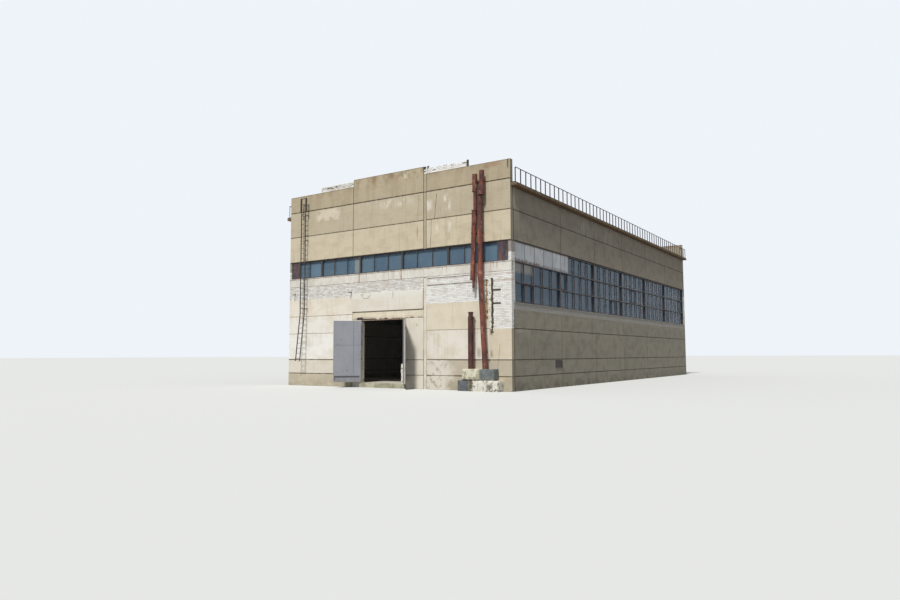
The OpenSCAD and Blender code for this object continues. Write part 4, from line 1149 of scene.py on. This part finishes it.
def addEndRibs():
    # upright ribs on the rusted sheets at the ends of the gable windows
    bm = bmesh.new()
    face = low("window_end_sheets").y
    half, out, short = ribs["width"] / 2, ribs["out"], ribs["short"]
    for sign in (-1, 1):
        x = high("gable_window_frames").x + ribs["pitch"] / 2
        while x < sheetEnd - short:
            for y in (face - out, -face):
                block(bm, (sign * x - half, y, sillZ + short),
                    (sign * x + half, y + out, headZ - short), 0.006)
            x += ribs["pitch"]
    piece("end_sheet_ribs", bm, endSheet)


strips = {
    "half": 0.022, "out": 0.004, "in": 0.002, "short": 0.01,
    "rivets": 7, "rivet": 0.009, "rivetIn": 0.02, "rivetOut": 0.006, "end": 0.08,
}


def addSideStrips():
    # rusted strips and rivets over the joints of the white sheets on the side
    bm = bmesh.new()
    a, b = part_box("side_window_sheets")
    half, inner, short = strips["half"], strips["in"] - b.x, strips["short"]
    step = (b.z - a.z - 2 * strips["end"]) / (strips["rivets"] - 1)
    for start, stop in unitLines():
        if stop > b.y + 0.1:
            break
        for x in (start + strips["rivetIn"], stop - strips["rivetIn"]):
            for row in range(strips["rivets"]):
                z = a.z + strips["end"] + row * step
                rod(bm, (x, -b.x - strips["rivetOut"], z), (x, inner, z), strips["rivet"], 6)
        block(bm, (stop - half, -b.x - strips["out"], a.z + short), (stop + half, inner, b.z - short), 0.001)
    piece("side_sheet_strips", bm, endSheet, turn=turned("right"))


addBandSheets()
addEndRibs()
addSideStrips()
print("sheets made")


# Gate

beam = {
    "faces": (116, 4, 14), "deep": 0.12, "high": 0.2, "bite": 0.096, "dent": 0.05,
    "worst": 1.1, "spread": 1.3,
    "bars": 3, "radius": 0.009, "in": 0.03, "inStep": 0.035, "up": 0.028, "upStep": 0.012,
    "start": 0.35, "end": 0.5, "endStep": 0.4,
    "links": 14, "linkStart": 0.5, "linkPitch": 0.21, "linkRadius": 0.004, "linkIn": (0.025, 0.026),
    "linkUp": (0.02, 0.15), "plate": ((0.4, -0.012, 0.005), (0.88, 0.02, 0.17)),
}


def addBeam():
    # the lintel beam with its lower front edge spalled away, and the bars that this bares
    a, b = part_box("gate_beam")
    deep = beam["deep"]
    bm = bmesh.new()
    sliced(bm, a, b, beam["faces"])
    for vert in bm.verts:
        spot = vert.co
        height = (spot.z - a.z) / beam["high"]
        if spot.y > a.y + deep or height > 1.0:
            continue
        left = max(0.0, 1.0 - abs(spot.x - (a.x + beam["worst"])) / beam["spread"])
        damage = 0.3 + 0.6 * left + 0.9 * wobble((spot.x, 0, 0), 0.35, 1) + 0.4 * wobble(spot, 0.09, 2)
        damage = max(0.0, damage) * (1.0 - height) * (a.y + deep - spot.y) / deep
        spot.z += damage * beam["bite"]
        spot.y += damage * beam["dent"]
    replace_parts(piece("spalled_beam", bm, beamFace), "gate_beam")
    bars = bmesh.new()
    for index in range(beam["bars"]):
        y = a.y + beam["in"] + beam["inStep"] * index
        z = a.z + beam["up"] + beam["upStep"] * index
        end = b.x - beam["end"] - beam["endStep"] * index
        rod(bars, (a.x + beam["start"], y, z), (end, y, z), beam["radius"], 8)
    foot, head = [(a.y + y, a.z + z) for y, z in zip(beam["linkIn"], beam["linkUp"])]
    for index in range(beam["links"]):
        x = a.x + beam["linkStart"] + beam["linkPitch"] * index
        rod(bars, (x, *foot), (x, *head), beam["linkRadius"], 6)
    block(bars, *(a + Vector(corner) for corner in beam["plate"]), 0.004)
    piece("bared_rebars", bars, darkSteel)


leaf = {
    "open": {"left_leaf": -135, "right_leaf": 130}, "innerFoot": {"left_leaf": 0.45, "right_leaf": 0.05},
    "left": 0.01, "width": 1.785, "bottom": 0.05, "top": 4.035, "out": 0.04, "thick": 0.068,
    "flat": 0.045, "frame": 0.05, "inset": 0.006, "proud": 0.005, "sunk": 0.001,
    "bolt": 0.012, "bolts": 9, "boltIn": 0.022, "boltEnd": 0.12, "boltTall": 0.004,
    "seamLevel": 2.45, "seamHalf": 0.012, "seamShort": 0.05, "seamAcross": (0.47, 0.494),
    "pull": (0.16, 1.15, 1.5), "pullOut": 0.05, "pullPast": 0.03, "pullRadii": (0.009, 0.011),
    "latch": (0.24, 0.06, 1.7, 1.78, 0.016),
}
hinges = {item["child"]: Vector(item["pos_m"]) for item in frame["joints"]}


def hang(body):
    # from a leaf drawn closed in the left opening to its place at rest
    pin = hinges[body]
    turn = Matrix.Rotation(math.radians(leaf["open"][body]), 4, "Z")
    mirror = Matrix.Diagonal((1 if body == "left_leaf" else -1, 1, 1, 1))
    return Matrix.Translation((pin.x, pin.y, 0)) @ turn @ mirror


def addLeafDetail():
    # welded seams, edge flats, bolts, a pull and a latch on both faces of a leaf
    bottom, top = floorZ + leaf["bottom"], floorZ + leaf["top"]
    left, right, out = leaf["left"], leaf["left"] + leaf["width"], leaf["out"]
    back, edge, side, inset = out + leaf["thick"], leaf["frame"], leaf["flat"], leaf["inset"]
    proud, sunk, tall, short = leaf["proud"], leaf["sunk"], leaf["boltTall"], leaf["seamShort"]
    middle, half = floorZ + leaf["seamLevel"], leaf["seamHalf"]
    seamStart, seamEnd = (left + across for across in leaf["seamAcross"])
    for body in ("left_leaf", "right_leaf"):
        flats, welds = bmesh.new(), bmesh.new()
        innerBottom = floorZ + leaf["innerFoot"][body]
        for first, last, head, start in ((out - proud, out + sunk, out - proud - tall, bottom),
                (back - sunk, back + proud, back + proud, innerBottom)):
            block(welds, (left + short, first, middle - half), (right - short, last, middle + half), 0.002)
            block(welds, (seamStart, first, start + edge), (seamEnd, last, top - edge), 0.002)
            for z in (start, top - edge):
                block(flats, (left + inset, first, z), (right - inset, last, z + edge), 0.002)
            for x in (left + inset, right - inset - side):
                block(flats, (x, first, start + edge), (x + side, last, top - edge), 0.002)
            for row in range(leaf["bolts"]):
                z = start + leaf["boltEnd"] + row * (top - start - 2 * leaf["boltEnd"]) / (leaf["bolts"] - 1)
                for x in (left + leaf["boltIn"], right - leaf["boltIn"]):
                    rod(flats, (x, head, z), (x, head + tall, z), leaf["bolt"], 6)
        pull, foot, tip = leaf["pull"]
        thin, thick = leaf["pullRadii"]
        x, y = right - pull, out - leaf["pullOut"]
        for z in (floorZ + foot, floorZ + tip):
            rod(flats, (x, y, z), (x, out, z), thin, 8)
        past = leaf["pullPast"]
        rod(flats, (x, y, floorZ + foot - past), (x, y, floorZ + tip + past), thick, 8)
        start, end, under, over, deep = leaf["latch"]
        block(flats, (right - start, out - deep, floorZ + under), (right - end, out, floorZ + over), 0.004)
        piece(body + "_flats", flats, leafPaint, body, hang(body))
        piece(body + "_welds", welds, weldPaint, body, hang(body))
    # a painted highlight along the free end of the right leaf, in the pale lining paint
    paintedHighlight = bmesh.new()
    block(paintedHighlight, (right - 0.004, out + sunk, bottom + sunk), (right + 0.0004, back - sunk, top - sunk))
    piece("right_leaf_primer", paintedHighlight, liningSteel, "right_leaf", hang("right_leaf"))


guard = {"faces": (7, 5, 26), "waist": 0.12, "round": 0.16, "lumps": (0.2, 0.22), "crown": 0.18}


def addWheelGuard():
    # a lumpy whitewashed pillar
    a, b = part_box("wheel_guard")
    bm = bmesh.new()
    sliced(bm, a, b, guard["faces"])
    middle, reach = (a + b) / 2, (b - a) / 2
    for vert in bm.verts:
        spot = vert.co.copy()
        for axis in (0, 1):
            across = 1 - axis
            other = (spot[across] - middle[across]) / reach[across]
            squeeze = guard["round"] * other * other + guard["waist"]
            squeeze += guard["lumps"][0] * abs(wobble((0, 0, spot.z), 0.17, 4))
            squeeze += guard["lumps"][1] * wobble(spot, 0.09, 5)
            vert.co[axis] = middle[axis] + (spot[axis] - middle[axis]) * (1.0 - max(0.0, squeeze))
        crown = max(0.0, (spot.z - (b.z - guard["crown"])) / guard["crown"])
        width = abs(spot.x - middle.x) / (b.x - a.x)
        vert.co.z -= crown * (0.2 * width * width + 0.03 * abs(wobble(spot, 0.06, 6)))
    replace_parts(piece("lumpy_wheel_guard", bm, whitewash), "wheel_guard")


addBeam()
addLeafDetail()
addWheelGuard()
print("gate finished")


# Blocks at the pipes' feet

blocks = {"face": 0.055, "edge": 0.09, "worn": 0.016, "chip": 0.072, "pit": 0.012, "gap": 0.02}


def addBlocks():
    # cast blocks with chipped edges, drawn over the plain ones
    ends = corners("pipe_blocks")
    nearest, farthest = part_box("pipe_blocks")
    split = max(spot.z for spot in ends if spot.y < nearest.y + 0.01)
    upper = [spot for spot in ends if spot.z > split + 0.1]
    lower = [spot for spot in ends if spot.z < 0.01]
    step = min(spot.x for spot in lower if spot.y < nearest.y + 0.06)
    upperY = min(spot.y for spot in upper)
    boxes = [
        ((min(s.x for s in upper), upperY, split), (max(s.x for s in upper), frontY, farthest.z)),
        ((min(s.x for s in lower), upperY, 0.0), (step - blocks["gap"], frontY, split)),
        ((step, nearest.y, 0.0), (farthest.x, frontY, split)),
    ]
    bm = bmesh.new()
    for index, (a, b) in enumerate(boxes):
        part = bmesh.new()
        a, b = Vector(a), Vector(b)
        sliced(part, a, b, [max(3, round((b[axis] - a[axis]) / blocks["face"])) for axis in range(3)])
        for vert in part.verts:
            spot = vert.co.copy()
            gaps = sorted(min(spot[axis] - a[axis], b[axis] - spot[axis]) for axis in range(3))
            edge = max(0.0, 1.0 - gaps[1] / blocks["edge"])
            bite = edge * (blocks["worn"] + blocks["chip"] * max(0.0, wobble(spot, 0.14, 7 + index)))
            bite += blocks["pit"] * max(0.0, wobble(spot, 0.06, 9 + index))
            pull = ((a + b) / 2 - spot).normalized() * bite
            if spot.y > b.y - 0.001:
                pull.y = 0.0
            if spot.z < a.z + 0.001 and a.z < 0.01:
                pull.z = 0.0
            vert.co += pull
        pour(bm, part)
    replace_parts(piece("chipped_blocks", bm, blockConcrete), "pipe_blocks")


addBlocks()


# Roof

laps = {"width": 0.07, "thick": 0.006, "short": 0.06, "stray": 0.03}


def addLaps():
    # the lapped edges of the felt, running down both slopes
    roof = corners("roofing")
    ridge = max(spot.z for spot in roof)
    eave = max(spot.z for spot in roof if spot.x > innerX - 0.05)
    slope = math.atan2(ridge - eave, innerX)
    length, half = math.hypot(innerX, ridge - eave) - laps["short"], laps["width"] / 2
    bm = bmesh.new()
    draw = random.Random(31)
    for sign in (-1, 1):
        for index in range(1, int(2 * innerY / feltPitch) + 1):
            verts = block(bm, (-length / 2, -half, 0), (length / 2, half, laps["thick"]), 0.002)
            y = -innerY + index * feltPitch + draw.uniform(-laps["stray"], laps["stray"])
            spot = Matrix.Translation((sign * innerX / 2, y, (ridge + eave) / 2))
            bmesh.ops.transform(bm, matrix=spot @ Matrix.Rotation(sign * slope, 4, "Y"), verts=verts)
    piece("felt_laps", bm, felt)


rails = {"post": 0.03, "plate": 0.09, "thick": 0.01, "leg": 0.056, "skin": 0.004}


def addRailDetail():
    # foot plates, and the second legs of the angles that posts and rail are made of
    bm = bmesh.new()
    a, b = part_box("roof_railings")
    z = high("eave_cornices").z
    half, skin = rails["plate"] / 2, rails["skin"]
    feet = sorted(spot.y for spot in corners("roof_railings") if spot.z < z + 0.01)
    starts = [y for before, y in zip([-99.0] + feet, feet) if y - before > half]
    for y in starts:
        for sign in (-1, 1):
            spot = Vector((sign * (b.x - rails["post"] / 2), min(y + rails["post"] / 2, -frontY - half), z))
            block(bm, spot - Vector((half, half, 0)), spot + Vector((half, half, rails["thick"])), 0.002)
            ends = sorted((sign * b.x, sign * (b.x - rails["leg"])))
            block(bm, (ends[0], y - skin, z), (ends[1], y, b.z - rails["post"]))
    for outer in (b.x, a.x - skin):
        block(bm, (outer, a.y, b.z - rails["leg"]), (outer + skin, b.y, b.z))
    piece("railing_details", bm, railSteel)


knobs = {
    "post": 6.0, "postWide": 0.1, "postHigh": 0.42, "postIn": 0.06,
    "size": 0.11, "up": 0.2, "places": (0.07, 0.1), "in": (0.03, 0.14),
}


def addParapetBits():
    # the post beside the right upstand, and the knobs over the filler strip
    bm = bmesh.new()
    half, post, wide = knobs["size"] / 2, knobs["post"], knobs["postWide"]
    top, ragged = high("front_parapet").z, low("parapet_upstands").z
    face = frontY + knobs["postIn"]
    front, back = (frontY + depth for depth in knobs["in"])
    block(bm, (post, face, ragged), (post + wide, face + wide, ragged + knobs["postHigh"]), 0.01)
    for start, past in zip(gableLines[1:], knobs["places"]):
        x = start + past
        block(bm, (x - half, front, ragged + knobs["up"]), (x + half, back, top - 0.002), 0.015)
    piece("parapet_stubs", bm, darkSteel)


addLaps()
addRailDetail()
addParapetBits()
print("roof finished")


# Small pieces on the front

cornerBits = {
    "render": (whitewash, (7.47, 7.7, 3.75, 6.3), 0.008, 0.07),
    # the dark mortar strip is painted shade standing in for the open hole beside the render
    "gap": (jointMortar, (7.62, 7.84, 3.05, 6.25), 0.004, 0.075),
    "old": (ochreRender, (7.24, 7.48, 3.85, 6.2), 0.006, 0.11),
}
ties = {
    "flats": ((7.7, 8.3, 5.5), (7.7, 8.3, 4.72)), "flatHigh": 0.09,
    "angles": (6.06, 6.5), "angleHigh": 0.03, "start": 0.1, "end": 6.4, "deep": 0.012, "sunk": 0.002,
}


def addCornerBits():
    # ragged strips of render and of painted shade for the open joint at the brick corner, and the steel ties
    # beside them
    for name, (recipe, (left, right, bottom, top), out, bite) in cornerBits.items():
        bm = bmesh.new()
        sliced(bm, (left, frontY - out, floorZ + bottom), (right, frontY + 0.02, floorZ + top), (6, 1, 60))
        middle = (left + right) / 2
        for vert in bm.verts:
            side = -1 if vert.co.x < middle else 1
            share = abs(vert.co.x - middle) / ((right - left) / 2)
            edge = (0, side, vert.co.z)
            ragged = 0.3 + abs(wobble(edge, 0.22, 3)) + 0.7 * wobble(edge, 0.07, 4)
            vert.co.x -= side * share * bite * ragged
        piece("corner_" + name, bm, recipe)
    bm = bmesh.new()
    deep, left = ties["deep"], gableLines[2] + ties["start"]
    for a, b, z in ties["flats"]:
        block(bm, (a, frontY - deep, floorZ + z), (b, frontY + deep, floorZ + z + ties["flatHigh"]), 0.006)
    for z in ties["angles"]:
        block(bm, (left, frontY + ties["sunk"], floorZ + z),
            (ties["end"], frontY + deep, floorZ + z + ties["angleHigh"]), 0.002)
    piece("wall_ties", bm, darkSteel)


pipeBits = {
    "rings": (("broken_pipe", (7.4, 9.2, 12.1)), ("leaning_pipe", (3.6, 5.2, 7.6, 9.4)),
        ("short_pipe", (1.9, 2.9))),
    "proud": 0.006,
    "high": 0.05,
    "inside": 0.92,
    "lug": (1.9, 0.1, 0.02),
}


def addPipeBits():
    # welded rings round the pipes, and a lug low on the leaning one
    bm = bmesh.new()
    for name, heights in pipeBits["rings"]:
        for height in heights:
            centre, radius = pipeAt(name, floorZ + height)
            radius += pipeBits["proud"]
            verts = bmesh.ops.create_cone(bm, cap_ends=False, segments=32, radius1=radius, radius2=radius,
                depth=pipeBits["high"])["verts"]
            edges = dict.fromkeys(edge for vert in verts for edge in vert.link_edges if edge.is_boundary)
            extra = bmesh.ops.extrude_edge_only(bm, edges=list(edges))["geom"]
            rim = [item for item in extra if isinstance(item, bmesh.types.BMVert)]
            bmesh.ops.scale(bm, vec=(pipeBits["inside"], pipeBits["inside"], 1.0), verts=rim)
            bmesh.ops.translate(bm, vec=centre, verts=verts + rim)
    height, size, half = pipeBits["lug"]
    centre, radius = pipeAt("leaning_pipe", floorZ + height)
    block(bm, centre + Vector((radius - half, -half, 0)), centre + Vector((radius + size, half, size)), 0.006)
    piece("pipe_rings", bm, pipeRust)


def pipeAt(name, z):
    # the middle and the radius of a pipe where a level plane cuts it
    bm = bmesh.new()
    bm.from_mesh(nodes[name].data)
    geometry = bm.verts[:] + bm.edges[:] + bm.faces[:]
    cut = bmesh.ops.bisect_plane(bm, geom=geometry, plane_co=(0, 0, z), plane_no=(0, 0, 1))["geom_cut"]
    ring = [item.co.copy() for item in cut if isinstance(item, bmesh.types.BMVert)]
    bm.free()
    middle = sum(ring, Vector()) / len(ring)
    return middle, max((spot - middle).length for spot in ring)


ladderHoop = {"drops": (0.0, 0.42)}


def addLadderHoop():
    # the bars that join the grab rails over the highest rung
    bm = bmesh.new()
    z = high("roof_ladder").z
    top = [spot for spot in corners("roof_ladder") if spot.z > z - 0.03]
    y = sum(spot.y for spot in top) / len(top)
    radius = max(spot.y for spot in top) - y
    left, right = min(spot.x for spot in top), max(spot.x for spot in top)
    for drop in ladderHoop["drops"]:
        rod(bm, (left, y, z - drop - radius), (right, y, z - drop - radius), radius)
    piece("ladder_hoop", bm, darkSteel)


addCornerBits()
addPipeBits()
addLadderHoop()
print("small pieces made")


# Stage

def addStage():
    bm = bmesh.new()
    bmesh.ops.create_grid(bm, x_segments=1, y_segments=1, size=light["floorSize"] / 2)
    mesh = meshOf("ground_plane", bm)
    mesh.materials.append(material("pale_floor", bareFloor, {"Roughness": 1.0, "Specular IOR Level": 0.0}))
    made = linked("ground_plane", mesh)
    world = bpy.data.worlds.new("soft_sky")
    bpy.context.scene.world = world
    world.use_nodes = True
    back = world.node_tree.nodes["Background"]
    seen = raysSeen(Wire(world.node_tree, back.outputs[0]))
    world.node_tree.links.new(mix(seen, light["sky"], light["backdrop"]).socket, back.inputs["Color"])


addCamera()
addSun()
addStage()
bpy.context.scene.view_settings.view_transform = "Standard"
print("camera, light and floor set")
